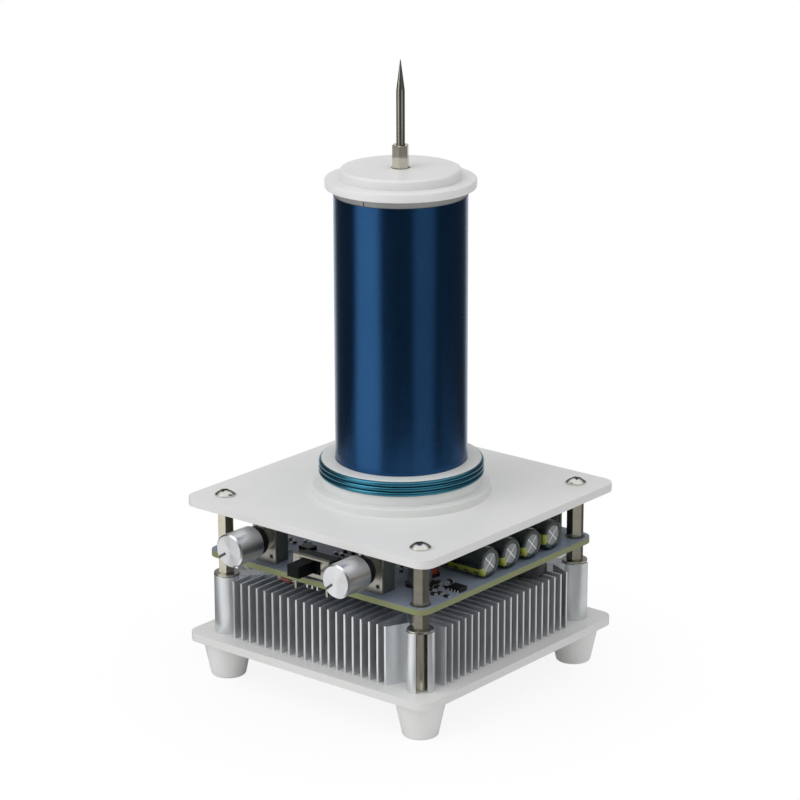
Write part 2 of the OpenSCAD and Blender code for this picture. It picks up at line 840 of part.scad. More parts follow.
module capacitor_bungs() {
    base_z = -can_l + crimp_w;
    color("dimgray") at_cans() difference() {
        translate([0, 0, base_z - bung_wall / 2])
            cylinder(h = bung_h + bung_wall / 2, r = can_wall_r - bung_wall - slip_gap);
        for (s = [-1, 1]) translate([0, s * can_lead_pitch / 2, base_z - bung_wall])
            cylinder(h = bung_h, r = can_lead_r + slip_gap);
    }
}

module capacitor_leads() {
    seat_x = can_vent_x - can_l + crimp_w + bung_h / 2;
    color("silver") for (p = can_lead_points) {
        translate([can_lead_x, p[1], can_axis_z]) rotate([0, 90, 0])
            cylinder(h = seat_x - can_lead_x, r = can_lead_r);
        translate([can_lead_x, p[1], can_axis_z]) sphere(can_lead_r);
        translate([can_lead_x, p[1], board_z - lead_tail_l])
            cylinder(h = can_axis_z - board_z + lead_tail_l, r = can_lead_r);
    }
}

// Surface-mounted parts on the board

module at_board_shares(places) {
    for (p = places) translate([p[0] * board_w, p[1] * board_w, board_top]) rotate([0, 0, p[2]]) children();
}

module chip_bodies() {
    color("black") at_board_shares(chip_place_shares)
        translate([-chip_l / 2, -chip_w / 2, chip_lift]) cube([chip_l, chip_w, chip_t]);
}

module chip_leads() {
    exit_z = chip_lift + chip_t / 2;
    color("silver") at_board_shares(chip_place_shares)
        for (side = [0, 180], k = [-1.5:1:1.5]) rotate([0, 0, side])
            translate([k * chip_lead_pitch - chip_lead_w / 2, -chip_w / 2, 0])
                rotate([90, 0, 90]) linear_extrude(chip_lead_w) polygon([
                    [0, exit_z], [-chip_lead_reach + chip_foot_l + chip_lead_t, exit_z],
                    [-chip_lead_reach + chip_foot_l, chip_lead_t], [-chip_lead_reach, chip_lead_t],
                    [-chip_lead_reach, 0], [-chip_lead_reach + chip_foot_l + chip_lead_t, 0],
                    [-chip_lead_reach + chip_foot_l + 2 * chip_lead_t, exit_z - chip_lead_t],
                    [0, exit_z - chip_lead_t]
                ]);
}

module small_part_bodies() {
    color("black") at_board_shares(small_place_shares)
        translate([-small_l / 2 + small_end_l, -small_w / 2, 0])
            cube([small_l - 2 * small_end_l, small_w, small_t]);
}

module small_part_ends() {
    color("silver") at_board_shares(small_place_shares) for (s = [-1, 1])
        translate([s * (small_l - small_end_l) / 2 - small_end_l / 2, -small_w / 2, 0])
            cube([small_end_l, small_w, small_t]);
}

module at_reservoir() {
    translate([reservoir_x_share * board_w, reservoir_y_share * board_w, board_top]) children();
}

module reservoir_base() {
    cut = reservoir_base_w / 5;
    half = reservoir_base_w / 2;
    color("black") at_reservoir() linear_extrude(reservoir_base_t) polygon([
        [-half, half], [-half, -half + cut], [-half + cut, -half],
        [half - cut, -half], [half, -half + cut], [half, half]
    ]);
}

module reservoir_can() {
    r = reservoir_d / 2;
    color("silver") at_reservoir() translate([0, 0, reservoir_base_t]) rotate_extrude() polygon([
        [0, 0], [r - reservoir_neck, 0], [r - reservoir_neck, reservoir_base_t / 2], [r, reservoir_base_t],
        [r, reservoir_h - reservoir_neck], [r - reservoir_neck, reservoir_h], [0, reservoir_h]
    ]);
}

// Parts under the board

module choke() {
    r = choke_d / 2;
    color("black") translate([choke_spot[0], choke_spot[1], board_z - choke_h]) rotate_extrude()
        polygon(concat(
            [[0, choke_h], [0, 0]],
            arc_points([r - choke_edge_r, choke_edge_r], choke_edge_r, -90, 0, 4),
            [[r, choke_h]]
        ));
}

module choke_pins() {
    color("silver") for (p = choke_pin_points)
        translate([p[0], p[1], board_z]) cylinder(h = board_t + choke_pin_r, r = choke_pin_r);
}

module signal_diode() {
    z = board_z - diode_drop;
    x = diode_x_share * board_w;
    color("firebrick") translate([x - diode_l / 2, diode_y, z]) rotate([0, 90, 0])
        cylinder(h = diode_l, d = diode_d);
    color("silver") translate([x - diode_span / 2, diode_y, z]) rotate([0, 90, 0])
        cylinder(h = diode_span, r = diode_lead_r);
    color("silver") for (p = diode_pin_points) {
        translate([p[0], p[1], z]) sphere(diode_lead_r);
        translate([p[0], p[1], z]) cylinder(h = board_top - z, r = diode_lead_r);
    }
}

module at_transistors() {
    for (s = [-1, 1]) translate([s * transistor_at, transistor_y, sink_top]) children();
}

module transistor_pads() {
    color("lightgray") at_transistors() linear_extrude(transistor_pad_t) difference() {
        translate([-tab_w / 2, 0]) square([tab_w, tab_l + case_l]);
        translate([0, tab_hole_from_end]) circle(clearance_r);
    }
}

module transistor_tabs() {
    color("silver") at_transistors() translate([0, 0, transistor_pad_t]) linear_extrude(tab_t) difference() {
        translate([-tab_w / 2, 0]) square([tab_w, tab_l + tab_under_l]);
        translate([0, tab_hole_from_end]) circle(clearance_r);
    }
}

module transistor_bodies() {
    color("black") at_transistors() translate([0, tab_l, transistor_pad_t]) difference() {
        translate([-tab_w / 2, 0, 0]) cube([tab_w, case_l, case_t]);
        translate([-tab_w, -overrun, -overrun]) cube([2 * tab_w, tab_under_l + overrun, tab_t + overrun]);
    }
}

module transistor_leads() {
    color("silver") for (s = [-1, 1], k = [-1:1]) {
        x = s * transistor_at + k * transistor_lead_pitch - transistor_lead_w / 2;
        z = sink_top + transistor_lead_rise;
        translate([x, case_y + case_l, z]) cube([transistor_lead_w, transistor_lead_run, transistor_lead_t]);
        translate([x, transistor_lead_y - transistor_lead_t / 2, z])
            cube([transistor_lead_w, transistor_lead_t, board_top - z]);
    }
}

module transistor_screws() {
    color("silver") for (s = [-1, 1])
        translate([s * transistor_at, transistor_y + tab_hole_from_end, sink_top + transistor_pad_t + tab_t])
            domed_screw(transistor_screw_l, foot_head_d);
}

// Jacks at the back. A jack's own frame has z pointing out of its mouth, at the board's back edge.

module at_jack(x, rise) {
    translate([x, back_edge, board_top + rise]) rotate([-90, 0, 0]) children();
}

module dc_jack() {
    color("black") at_jack(dc_x, jack_axis_rise) difference() {
        union() {
            translate([-dc_w / 2, jack_axis_rise - dc_h, -dc_nose_t]) cube([dc_w, dc_h, dc_nose_t]);
            translate([-dc_w / 2, jack_axis_rise - dc_h + dc_step, -dc_l]) cube([dc_w, dc_h - dc_step, dc_l]);
        }
        translate([0, 0, -dc_bore_l]) cylinder(h = dc_bore_l + overrun, d = dc_bore_d);
    }
}

module dc_jack_pin() {
    color("silver") at_jack(dc_x, jack_axis_rise) translate([0, 0, -dc_bore_l]) {
        cylinder(h = dc_bore_l - dc_pin_d, d = dc_pin_d);
        translate([0, 0, dc_bore_l - dc_pin_d]) cylinder(h = dc_pin_d / 2, d1 = dc_pin_d, d2 = dc_pin_d / 2);
    }
}

module audio_jack() {
    color("black") at_jack(audio_x, audio_h / 2) difference() {
        union() {
            translate([-audio_w / 2, -audio_h / 2, -audio_l]) cube([audio_w, audio_h, audio_l]);
            translate([0, 0, -overrun]) cylinder(h = audio_nose_l + overrun, d = min(audio_nose_d, audio_h));
        }
        translate([0, 0, -audio_bore_l + audio_nose_l])
            cylinder(h = audio_bore_l + overrun, d = audio_bore_d);
    }
}

module jack_pins() {
    color("silver") for (p = jack_pin_points) board_pin(p, jack_pin_w, jack_pin_t, pin_tail_l);
}

// Primary

// Where the winding's two ends turn down, seen from above
primary_start_spot = [primary_centre_r, -primary_bend_r];
primary_return_spot = [return_r, primary_bend_r];

module primary_lead_holes() {
    rotate(primary_start_azimuth) translate(primary_start_spot) circle(lead_hole_r);
    rotate(primary_return_azimuth) translate(primary_return_spot) circle(lead_hole_r);
}

module primary_former() {
    color("snow") translate([0, 0, deck_top]) difference() {
        rotate_extrude() polygon(concat(
            [[former_bore_d / 2, 0], [flange_d / 2, 0]],
            arc_points([flange_d / 2 - former_lip_r, flange_t - former_lip_r], former_lip_r, 0, 90, 4),
            [[former_d / 2, flange_t], [former_d / 2, groove_foot], [groove_d / 2, groove_foot]],
            [[groove_d / 2, groove_top], [former_d / 2, groove_top]],
            arc_points([former_d / 2, former_h] - lip_edge_r * [1, 1], lip_edge_r, 0, 90, 4),
            [[former_bore_d / 2, former_h]]
        ));
        rotate([0, 0, primary_start_azimuth]) {
            translate([primary_start_spot[0], primary_start_spot[1], -overrun])
                cylinder(h = flange_t + 2 * overrun, r = lead_hole_r);
            translate([primary_start_spot[0] - lead_hole_r, primary_start_spot[1] - lead_hole_r, flange_t])
                cube([former_d / 2, primary_bend_r + 2 * lead_hole_r, groove_foot + overrun - flange_t]);
        }
        rotate([0, 0, primary_return_azimuth]) {
            translate([primary_return_spot[0], primary_return_spot[1], -overrun])
                cylinder(h = former_h + 2 * overrun, r = lead_hole_r);
            translate([primary_return_spot[0], primary_return_spot[1] - lead_hole_r, flange_t])
                cube([former_d / 2, 2 * lead_hole_r, former_h]);
        }
    }
}

function unit(v) = v / norm(v);
function cross_section_axis(n, t) = unit(n - (n * t) * t);
function tangent(path, i) = let (last = len(path) - 1)
    i == 0 ? unit(path[1] - path[0])
    : i >= last ? unit(path[last] - path[last - 1])
    : unit(unit(path[i + 1] - path[i]) + unit(path[i] - path[i - 1]));

// A solid tube of flat sides along a path, its section carried from ring to ring without twist
module wound_tube(path, r, sides, first_axis) {
    rings = len(path);
    axes = [
        for (i = 0, n = first_axis; i < rings; i = i + 1, n = cross_section_axis(n, tangent(path, i))) n
    ];
    points = [
        for (i = [0:rings - 1], k = [0:sides - 1])
            let (t = tangent(path, i), n = axes[i], b = cross(t, n))
            path[i] + r * (cos(360 * k / sides) * n + sin(360 * k / sides) * b)
    ];
    function at(i, k) = i * sides + k % sides;
    walls = [
        for (i = [0:rings - 2], k = [0:sides - 1], half = [0, 1])
            half == 0
                ? [at(i, k), at(i + 1, k), at(i + 1, k + 1)]
                : [at(i, k), at(i + 1, k + 1), at(i, k + 1)]
    ];
    start = [for (k = [1:sides - 2]) [0, k, k + 1]];
    end = [for (k = [1:sides - 2]) [at(rings - 1, 0), at(rings - 1, k + 1), at(rings - 1, k)]];
    polyhedron(points = points, faces = concat(walls, start, end));
}

function turn_point(r, angle, z) = [r * cos(angle), r * sin(angle), z];
function turned(p, angle) =
    [p[0] * cos(angle) - p[1] * sin(angle), p[0] * sin(angle) + p[1] * cos(angle), p[2]];
function eased(t) = t * t * (3 - 2 * t);

// Turns climbed at a ring: each turn lies level and climbs over its last few rings
function turns_climbed(i) = let (ring = i % loop_rings, level_rings = loop_rings - climb_rings)
    (i - ring) / loop_rings + eased(max(ring - level_rings, 0) / climb_rings);

// The primary's path in a frame whose x axis passes through the winding's start: up from the board, round
// the former, into its notch and down again
winding_steps = primary_turns * loop_rings - climb_rings;
primary_coil = [
    for (i = [0:winding_steps])
        turn_point(primary_centre_r, 360 * i / loop_rings, primary_start_z + primary_pitch * turns_climbed(i))
];
primary_return = concat(
    [for (i = [1:bend_rings]) let (a = 90 * i / bend_rings) [
        primary_centre_r - primary_bend_r * (1 - cos(a)), primary_bend_r * sin(a), primary_end_z
    ]],
    [for (i = [0:bend_rings]) let (a = 90 * i / bend_rings) [
        return_r + primary_bend_r * (1 - sin(a)), primary_bend_r,
        primary_end_z - primary_bend_r * (1 - cos(a))
    ]],
    [[primary_return_spot[0], primary_return_spot[1], board_top]]
);
primary_path = concat(
    [[primary_start_spot[0], primary_start_spot[1], board_top]],
    [for (i = [0:bend_rings - 1]) let (a = 90 * i / bend_rings) [
        primary_centre_r, -primary_bend_r * cos(a), primary_start_z - primary_bend_r * (1 - sin(a))
    ]],
    primary_coil,
    [for (p = primary_return) turned(p, -climb_angle)]
);

// Least gap between the surfaces of turns that lie beside each other
primary_gap = min([
    for (i = [0:len(primary_coil) - 1], j = [i + loop_rings / 2:len(primary_coil) - 1])
        if (j < len(primary_coil)) norm(primary_coil[i] - primary_coil[j])
]) - primary_wire_d;
return_gap = min([
    for (p = primary_coil, z = [primary_start_z, primary_end_z - primary_bend_r])
        norm(p - turned([primary_return_spot[0], primary_return_spot[1], z], -climb_angle))
]) - primary_wire_d;
echo(least_gap_between_primary_turns = min(primary_gap, return_gap));

module primary_winding() {
    color("teal") rotate([0, 0, primary_start_azimuth])
        wound_tube(primary_path, primary_wire_d / 2, tube_sides, [1, 0, 0]);
}

// Secondary

module secondary_tube() {
    color("aliceblue") translate([0, 0, deck_top]) difference() {
        cylinder(h = tube_h, r = tube_r - slip_gap / 2);
        translate([0, 0, -overrun]) cylinder(h = tube_h + 2 * overrun, r = tube_bore_r);
        rotate([0, 0, upper_lead_azimuth]) translate([0, 0, tube_h - bare_band_h / 2]) rotate([0, 90, 0])
            cylinder(h = coil_d, r = fine_hole_r);
    }
}

module secondary_winding() {
    winding_h = tube_h - bare_band_h - winding_start_h;
    color("midnightblue") translate([0, 0, deck_top + winding_start_h]) difference() {
        cylinder(h = winding_h, d = coil_d);
        translate([0, 0, -overrun]) cylinder(h = winding_h + 2 * overrun, r = tube_r);
    }
}

// A straight run of the fine secondary wire with a rounded start
module fine_run(from, to) {
    run = to - from;
    length = norm(run);
    translate(from) {
        sphere(fine_wire_r);
        rotate([0, acos(run[2] / length), atan2(run[1], run[0])]) cylinder(h = length, r = fine_wire_r);
    }
}

module secondary_leads() {
    hole_z = cap_z - bare_band_h / 2;
    inner_r = tube_bore_r - spigot_notch_depth / 2;
    under_z = cap_z - spigot_h - overrun;
    color("indianred") {
        rotate([0, 0, lower_lead_azimuth])
            fine_run([fine_lead_r, 0, board_top], [fine_lead_r, 0, deck_top + winding_start_h]);
        rotate([0, 0, upper_lead_azimuth]) {
            fine_run([fine_lead_r, 0, cap_z - bare_band_h], [fine_lead_r, 0, hole_z]);
            fine_run([fine_lead_r, 0, hole_z], [inner_r, 0, hole_z]);
            fine_run([inner_r, 0, hole_z], [inner_r, 0, under_z]);
            fine_run([inner_r, 0, under_z], [foot_head_d / 2, 0, under_z]);
        }
    }
}

module bottom_plug() {
    color("white") translate([0, 0, deck_top]) difference() {
        cylinder(h = plug_h, r = tube_bore_r - slip_gap);
        translate([0, 0, -overrun]) cylinder(h = plug_h + 2 * overrun, r = tapped_r);
    }
}

module plug_screw() {
    color("silver") translate([0, 0, deck_z]) mirror([0, 0, 1]) domed_screw(plug_screw_l, foot_head_d);
}

module top_cap() {
    color("white") difference() {
        union() {
            translate([0, 0, cap_z]) rotate_extrude() polygon(concat(
                [[0, 0]],
                arc_points([cap_d / 2 - former_lip_r, former_lip_r], former_lip_r, -90, 0, 4),
                arc_points([cap_d / 2 - former_lip_r, cap_t - former_lip_r], former_lip_r, 0, 90, 4),
                [[crown_d / 2, cap_t]],
                arc_points(
                    [crown_d / 2 - 2 * former_lip_r, cap_t + crown_t - 2 * former_lip_r],
                    2 * former_lip_r, 0, 90, 6
                ),
                [[0, cap_t + crown_t]]
            ));
            translate([0, 0, cap_z - spigot_h])
                cylinder(h = spigot_h + overrun, r = tube_bore_r - slip_gap);
        }
        translate([0, 0, cap_z - spigot_h - overrun])
            cylinder(h = cap_top - cap_z + spigot_h + 2 * overrun, r = clearance_r);
        translate([0, 0, terminal_z])
            cylinder(h = terminal_h, r = post_flat / 2 / cos(30) + terminal_seat_gap);
        rotate([0, 0, upper_lead_azimuth])
            translate([tube_bore_r - spigot_notch_depth, -spigot_notch_w / 2, cap_z - spigot_h - overrun])
                cube([spigot_notch_depth + overrun, spigot_notch_w, spigot_h + overrun]);
    }
}

module terminal_screw() {
    color("silver") translate([0, 0, cap_z - spigot_h]) mirror([0, 0, 1])
        domed_screw(terminal_screw_l, foot_head_d);
}

module terminal_post() {
    color("silver") translate([0, 0, terminal_z]) hex_post(terminal_h, 0, terminal_h / 2 + overrun / 2);
}

module needle() {
    color("silver") translate([0, 0, terminal_top]) rotate_extrude() polygon([
        [0, -needle_socket_h], [thread_r, -needle_socket_h], [thread_r, -overrun], [needle_d / 2, -overrun],
        [needle_d / 2, needle_h - needle_point_h], [needle_tip_r, needle_h], [0, needle_h]
    ]);
}

feet();
foot_screws();
base_plate();
heatsink();
boss_posts();
washers();
lower_posts();
circuit_board();
upper_posts();
top_plate();
top_screws();
left_pot_face();
left_pot_body();
left_pot_shaft();
left_knob_insert();
left_knob();
right_pot_face();
right_pot_body();
right_pot_shaft();
right_knob_insert();
right_knob();
pot_pins();
switch_frame();
switch_body();
switch_base();
switch_lever();
switch_pins();
capacitor_sleeves();
capacitor_cans();
capacitor_bungs();
capacitor_leads();
chip_bodies();
chip_leads();
small_part_bodies();
small_part_ends();
reservoir_can();
reservoir_base();
choke();
choke_pins();
signal_diode();
transistor_bodies();
transistor_tabs();
transistor_leads();
transistor_pads();
transistor_screws();
dc_jack();
dc_jack_pin();
audio_jack();
jack_pins();
primary_former();
primary_winding();
secondary_tube();
secondary_winding();
secondary_leads();
bottom_plug();
plug_screw();
top_cap();
terminal_screw();
terminal_post();
needle();
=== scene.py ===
"""Looks of a desktop resonant transformer: an air-cored coil pair on a driver board and a finned heatsink.

The script follows the object from the table up, one section for each piece or group of like pieces.
Lengths are in metres, and colours are written as the sRGB values that they show.
"""

import math

import bpy
from mathutils import Matrix, Quaternion, Vector


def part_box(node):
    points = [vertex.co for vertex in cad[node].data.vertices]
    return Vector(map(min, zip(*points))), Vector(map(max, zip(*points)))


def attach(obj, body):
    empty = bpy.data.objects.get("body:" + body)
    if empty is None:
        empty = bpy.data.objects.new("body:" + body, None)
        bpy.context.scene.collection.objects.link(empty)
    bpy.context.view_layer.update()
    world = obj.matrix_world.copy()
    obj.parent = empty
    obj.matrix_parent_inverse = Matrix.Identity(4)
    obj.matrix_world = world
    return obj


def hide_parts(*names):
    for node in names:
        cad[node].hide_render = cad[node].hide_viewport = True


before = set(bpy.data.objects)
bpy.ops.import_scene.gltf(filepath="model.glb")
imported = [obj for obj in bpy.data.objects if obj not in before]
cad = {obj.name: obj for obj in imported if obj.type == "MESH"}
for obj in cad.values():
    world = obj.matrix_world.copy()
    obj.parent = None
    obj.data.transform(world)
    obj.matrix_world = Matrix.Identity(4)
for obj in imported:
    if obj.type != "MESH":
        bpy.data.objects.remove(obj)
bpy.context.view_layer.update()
MM = 0.001

# Camera: a long lens a little above the object, turned to the corner between the controls and the
# capacitors' vents.
EYE = Vector((0.60099, -0.73607, 0.38374))
AIM = Vector((-0.00032, -0.00026, 0.09358))
LENS_MM = 136.19
SENSOR_MM = 36
ROLL_DEG = -0.15

camera = bpy.data.objects.new("camera", bpy.data.cameras.new("camera"))
camera.data.lens = LENS_MM
camera.data.sensor_width = SENSOR_MM
camera.data.clip_start = 0.05
camera.data.clip_end = 20
camera.location = EYE
camera.rotation_mode = "QUATERNION"
aimed = (AIM - EYE).to_track_quat("-Z", "Y")
camera.rotation_quaternion = aimed @ Quaternion((0, 0, 1), math.radians(ROLL_DEG))
bpy.context.scene.collection.objects.link(camera)
bpy.context.scene.camera = camera

# Studio: a white sweep of paper that reads as pure white to the lens and behind polished parts. Light
# comes mostly from above. In front stand two soft boxes in a dim room. Patches of the paper carry painted
# light that only polished parts see, and the coil shows these with the soft boxes as two bands.
bpy.context.scene.view_settings.view_transform = "Standard"
MIDDLE = Vector((0, 0, 0.1))
OVERHEAD_LEVEL = 0.98
OVERHEAD_FROM = 0.55
HORIZON_LEVEL = 0.06
REAR_SHARE = 0.6
REAR_TO_FRONT = (-0.8, 0.2)
ROOM_LEVEL = 0.09
ROOM_EDGE = (-0.94, -0.76)
LAMP_TOPS = (0.86, 0.50)
PAPER = (246, 246, 246)
SHADOW_SHOWN = 0.13
SHADOW_FADES_M = (0.045, 0.12)
# Each patch of painted light on the paper, seen only by glossy rays: from and to in metres, from and to in
# degrees right of the camera, and level.
PAINTED_LIGHT_PATCHES = (
    (0.0, 0.76, -84, -41, 1.0),
    (0.0, 0.23, -60, -20, 0.34),
    (0.0, 0.76, 25, 61, 0.38),
    (0.93, 9.0, -84, -41, 1.0),
    (0.93, 9.0, 25, 61, 0.7),
    (0.165, 0.25, -96, -80, 1.0),
    (0.0, 0.2, 86, 125, 0.7),
)
toward = (EYE - AIM).normalized()
rightward = Vector((-toward.y, toward.x, 0)).normalized()


def linear(red, green, blue):
    """The linear colour of an sRGB colour written from 0 to 255."""
    shares = [value / 255 for value in (red, green, blue)]
    return [s / 12.92 if s <= 0.04045 else ((s + 0.055) / 1.055) ** 2.4 for s in shares] + [1.0]


def add(tree, kind, inputs=None, **settings):
    """A new shader node. inputs maps a socket's name or number to its value or to what feeds it."""
    made = tree.nodes.new("ShaderNode" + kind)
    for key, value in settings.items():
        setattr(made, key, value)
    for key, value in (inputs or {}).items():
        if isinstance(value, bpy.types.NodeSocket):
            tree.links.new(value, made.inputs[key])
        else:
            made.inputs[key].default_value = value
    return made


def math_node(tree, operation, *values):
    """The output of a maths node fed by these values or sockets."""
    return add(tree, "Math", dict(enumerate(values)), operation=operation).outputs[0]


def seen_as_background(tree):
    """1 for camera, glossy and transmitted rays, and 0 for the rays that light the object."""
    path = add(tree, "LightPath")
    seen = math_node(tree, "MAXIMUM", path.outputs["Is Camera Ray"], path.outputs["Is Glossy Ray"])
    return math_node(tree, "MAXIMUM", seen, path.outputs["Is Transmission Ray"])


def between(tree, value, low, high, soft):
    """1 where value lies between low and high, fading over the width soft."""
    rise = add(tree, "MapRange", {"Value": value, "From Min": low - soft, "From Max": low})
    fall = add(tree, "MapRange", {"Value": value, "From Min": high + soft, "From Max": high})
    return math_node(tree, "MULTIPLY", rise.outputs["Result"], fall.outputs["Result"])


def mirrored_level(tree, heading):
    """What polished parts see in this direction: white behind the object and overhead, and a dim room."""
    facing = add(tree, "VectorMath", {0: heading, 1: toward}, operation="DOT_PRODUCT").outputs["Value"]
    in_room = add(
        tree, "MapRange", {"Value": facing, "From Min": ROOM_EDGE[0], "From Max": ROOM_EDGE[1]},
        interpolation_type="SMOOTHSTEP",
    ).outputs["Result"]
    height = add(tree, "SeparateXYZ", {0: heading}).outputs["Z"]
    below_lamps = add(
        tree, "MapRange", {"Value": height, "From Min": LAMP_TOPS[0], "From Max": LAMP_TOPS[1]},
        interpolation_type="SMOOTHSTEP",
    ).outputs["Result"]
    dimmed = math_node(tree, "MULTIPLY", in_room, below_lamps)
    return add(tree, "MapRange", {"Value": dimmed, "To Min": 1.0, "To Max": ROOM_LEVEL}).outputs["Result"]


def paper_with_painted_light(tree, heading, away):
    """What polished parts see of the paper this way and this far off: painted light, bright in the patches.
    """
    ahead = add(tree, "VectorMath", {0: heading, 1: toward}, operation="DOT_PRODUCT").outputs["Value"]
    aside = add(tree, "VectorMath", {0: heading, 1: rightward}, operation="DOT_PRODUCT").outputs["Value"]
    turn = math_node(tree, "ARCTAN2", aside, ahead)
    shown = mirrored_level(tree, heading)
    for from_m, to_m, from_deg, to_deg, level in PAINTED_LIGHT_PATCHES:
        band = between(tree, turn, math.radians(from_deg), math.radians(to_deg), math.radians(3))
        row = between(tree, away, from_m, to_m, 0.015)
        lit = math_node(tree, "MULTIPLY", math_node(tree, "MULTIPLY", band, row), level)
        shown = math_node(tree, "MAXIMUM", shown, lit)
    return shown


world = bpy.data.worlds.new("studio")
world.use_nodes = True
bpy.context.scene.world = world
sky = world.node_tree
sky.nodes.clear()
heading = add(sky, "TexCoord").outputs["Generated"]
mirrored = mirrored_level(sky, heading)
rise = add(sky, "SeparateXYZ", {0: heading}).outputs["Z"]
graded = add(sky, "MapRange", {
    "Value": rise, "From Max": OVERHEAD_FROM, "To Min": HORIZON_LEVEL, "To Max": OVERHEAD_LEVEL
}).outputs["Result"]
ahead = add(sky, "VectorMath", {0: heading, 1: toward}, operation="DOT_PRODUCT").outputs["Value"]
in_front = add(sky, "MapRange", {
    "Value": ahead, "From Min": REAR_TO_FRONT[0], "From Max": REAR_TO_FRONT[1], "To Min": REAR_SHARE
}).outputs["Result"]
soft = math_node(sky, "MULTIPLY", graded, in_front)
path = add(sky, "LightPath")
lit = add(sky, "Background", {"Color": [1, 1, 1, 1], "Strength": soft})
mirror = add(sky, "Background", {"Color": [1, 1, 1, 1], "Strength": mirrored})
white = add(sky, "Background", {"Color": [1, 1, 1, 1], "Strength": 1.0})
polished = add(
    sky, "MixShader", {0: path.outputs["Is Glossy Ray"], 1: lit.outputs[0], 2: mirror.outputs[0]}
)
straight = math_node(
    sky, "MAXIMUM", path.outputs["Is Camera Ray"], path.outputs["Is Transmission Ray"]
)
shown = add(sky, "MixShader", {0: straight, 1: polished.outputs[0], 2: white.outputs[0]})
add(sky, "OutputWorld", {"Surface": shown.outputs[0]})

FLOOR_HALF = 4.0
floor_mesh = bpy.data.meshes.new("floor")
floor_mesh.from_pydata(
    [(-FLOOR_HALF, -FLOOR_HALF, 0), (FLOOR_HALF, -FLOOR_HALF, 0),
     (FLOOR_HALF, FLOOR_HALF, 0), (-FLOOR_HALF, FLOOR_HALF, 0)], [], [(0, 1, 2, 3)]
)
floor = bpy.data.objects.new("floor", floor_mesh)
bpy.context.scene.collection.objects.link(floor)
paper = bpy.data.materials.new("paper")
paper.use_nodes = True
tree = paper.node_tree
tree.nodes.clear()
matt = add(tree, "BsdfDiffuse", {"Color": linear(*PAPER)})
around = add(tree, "TexCoord").outputs["Object"]
from_object = add(tree, "VectorMath", {0: around, 1: MIDDLE}, operation="SUBTRACT").outputs[0]
heading = add(tree, "VectorMath", {0: from_object}, operation="NORMALIZE").outputs[0]
distance = add(tree, "VectorMath", {0: around}, operation="LENGTH").outputs["Value"]
glossy = add(tree, "LightPath").outputs["Is Glossy Ray"]
# The paper shows painted light in its patches to glossy rays alone.
painted_paper_level = paper_with_painted_light(tree, heading, distance)
strength = add(tree, "MapRange", {"Value": glossy, "To Min": 1.0, "To Max": painted_paper_level})
glow = add(tree, "Emission", {"Color": [1, 1, 1, 1], "Strength": strength.outputs["Result"]})
clear_of_shadow = add(
    tree, "MapRange",
    {"Value": distance, "From Min": SHADOW_FADES_M[0], "From Max": SHADOW_FADES_M[1],
     "To Min": 1 - SHADOW_SHOWN},
    interpolation_type="SMOOTHSTEP",
).outputs["Result"]
share = math_node(tree, "MULTIPLY", seen_as_background(tree), clear_of_shadow)
laid = add(tree, "MixShader", {0: share, 1: matt.outputs[0], 2: glow.outputs[0]})
add(tree, "OutputMaterial", {"Surface": laid.outputs[0]})
floor_mesh.materials.append(paper)


def soft_box(name, turn_deg, lift_deg, distance, width, height, level):
    """A rectangular lamp of even brightness level, turned from the camera's own direction."""
    radiance_to_watts = math.pi * width * height
    lamp = bpy.data.lights.new(name, "AREA")
    lamp.shape = "RECTANGLE"
    lamp.size = width
    lamp.size_y = height
    lamp.energy = level * radiance_to_watts
    heading_angle = math.atan2(toward.y, toward.x) + math.radians(turn_deg)
    lift = math.radians(lift_deg)
    away = Vector((
        math.cos(heading_angle) * math.cos(lift), math.sin(heading_angle) * math.cos(lift), math.sin(lift)
    ))
    placed = bpy.data.objects.new(name, lamp)
    placed.location = MIDDLE + away * distance
    placed.rotation_mode = "QUATERNION"
    placed.rotation_quaternion = (-away).to_track_quat("-Z", "Y")
    bpy.context.scene.collection.objects.link(placed)


soft_box("left_box", -61, 33, 1.3, 0.9, 1.5, 1.25)
soft_box("right_box", 43, 33, 1.3, 0.84, 1.5, 0.12)

# Feet: four tapered feet turned from white plastic, each drilled and counterbored from below for the
# screw that holds the whole stack.
WHITE = (232, 232, 231)


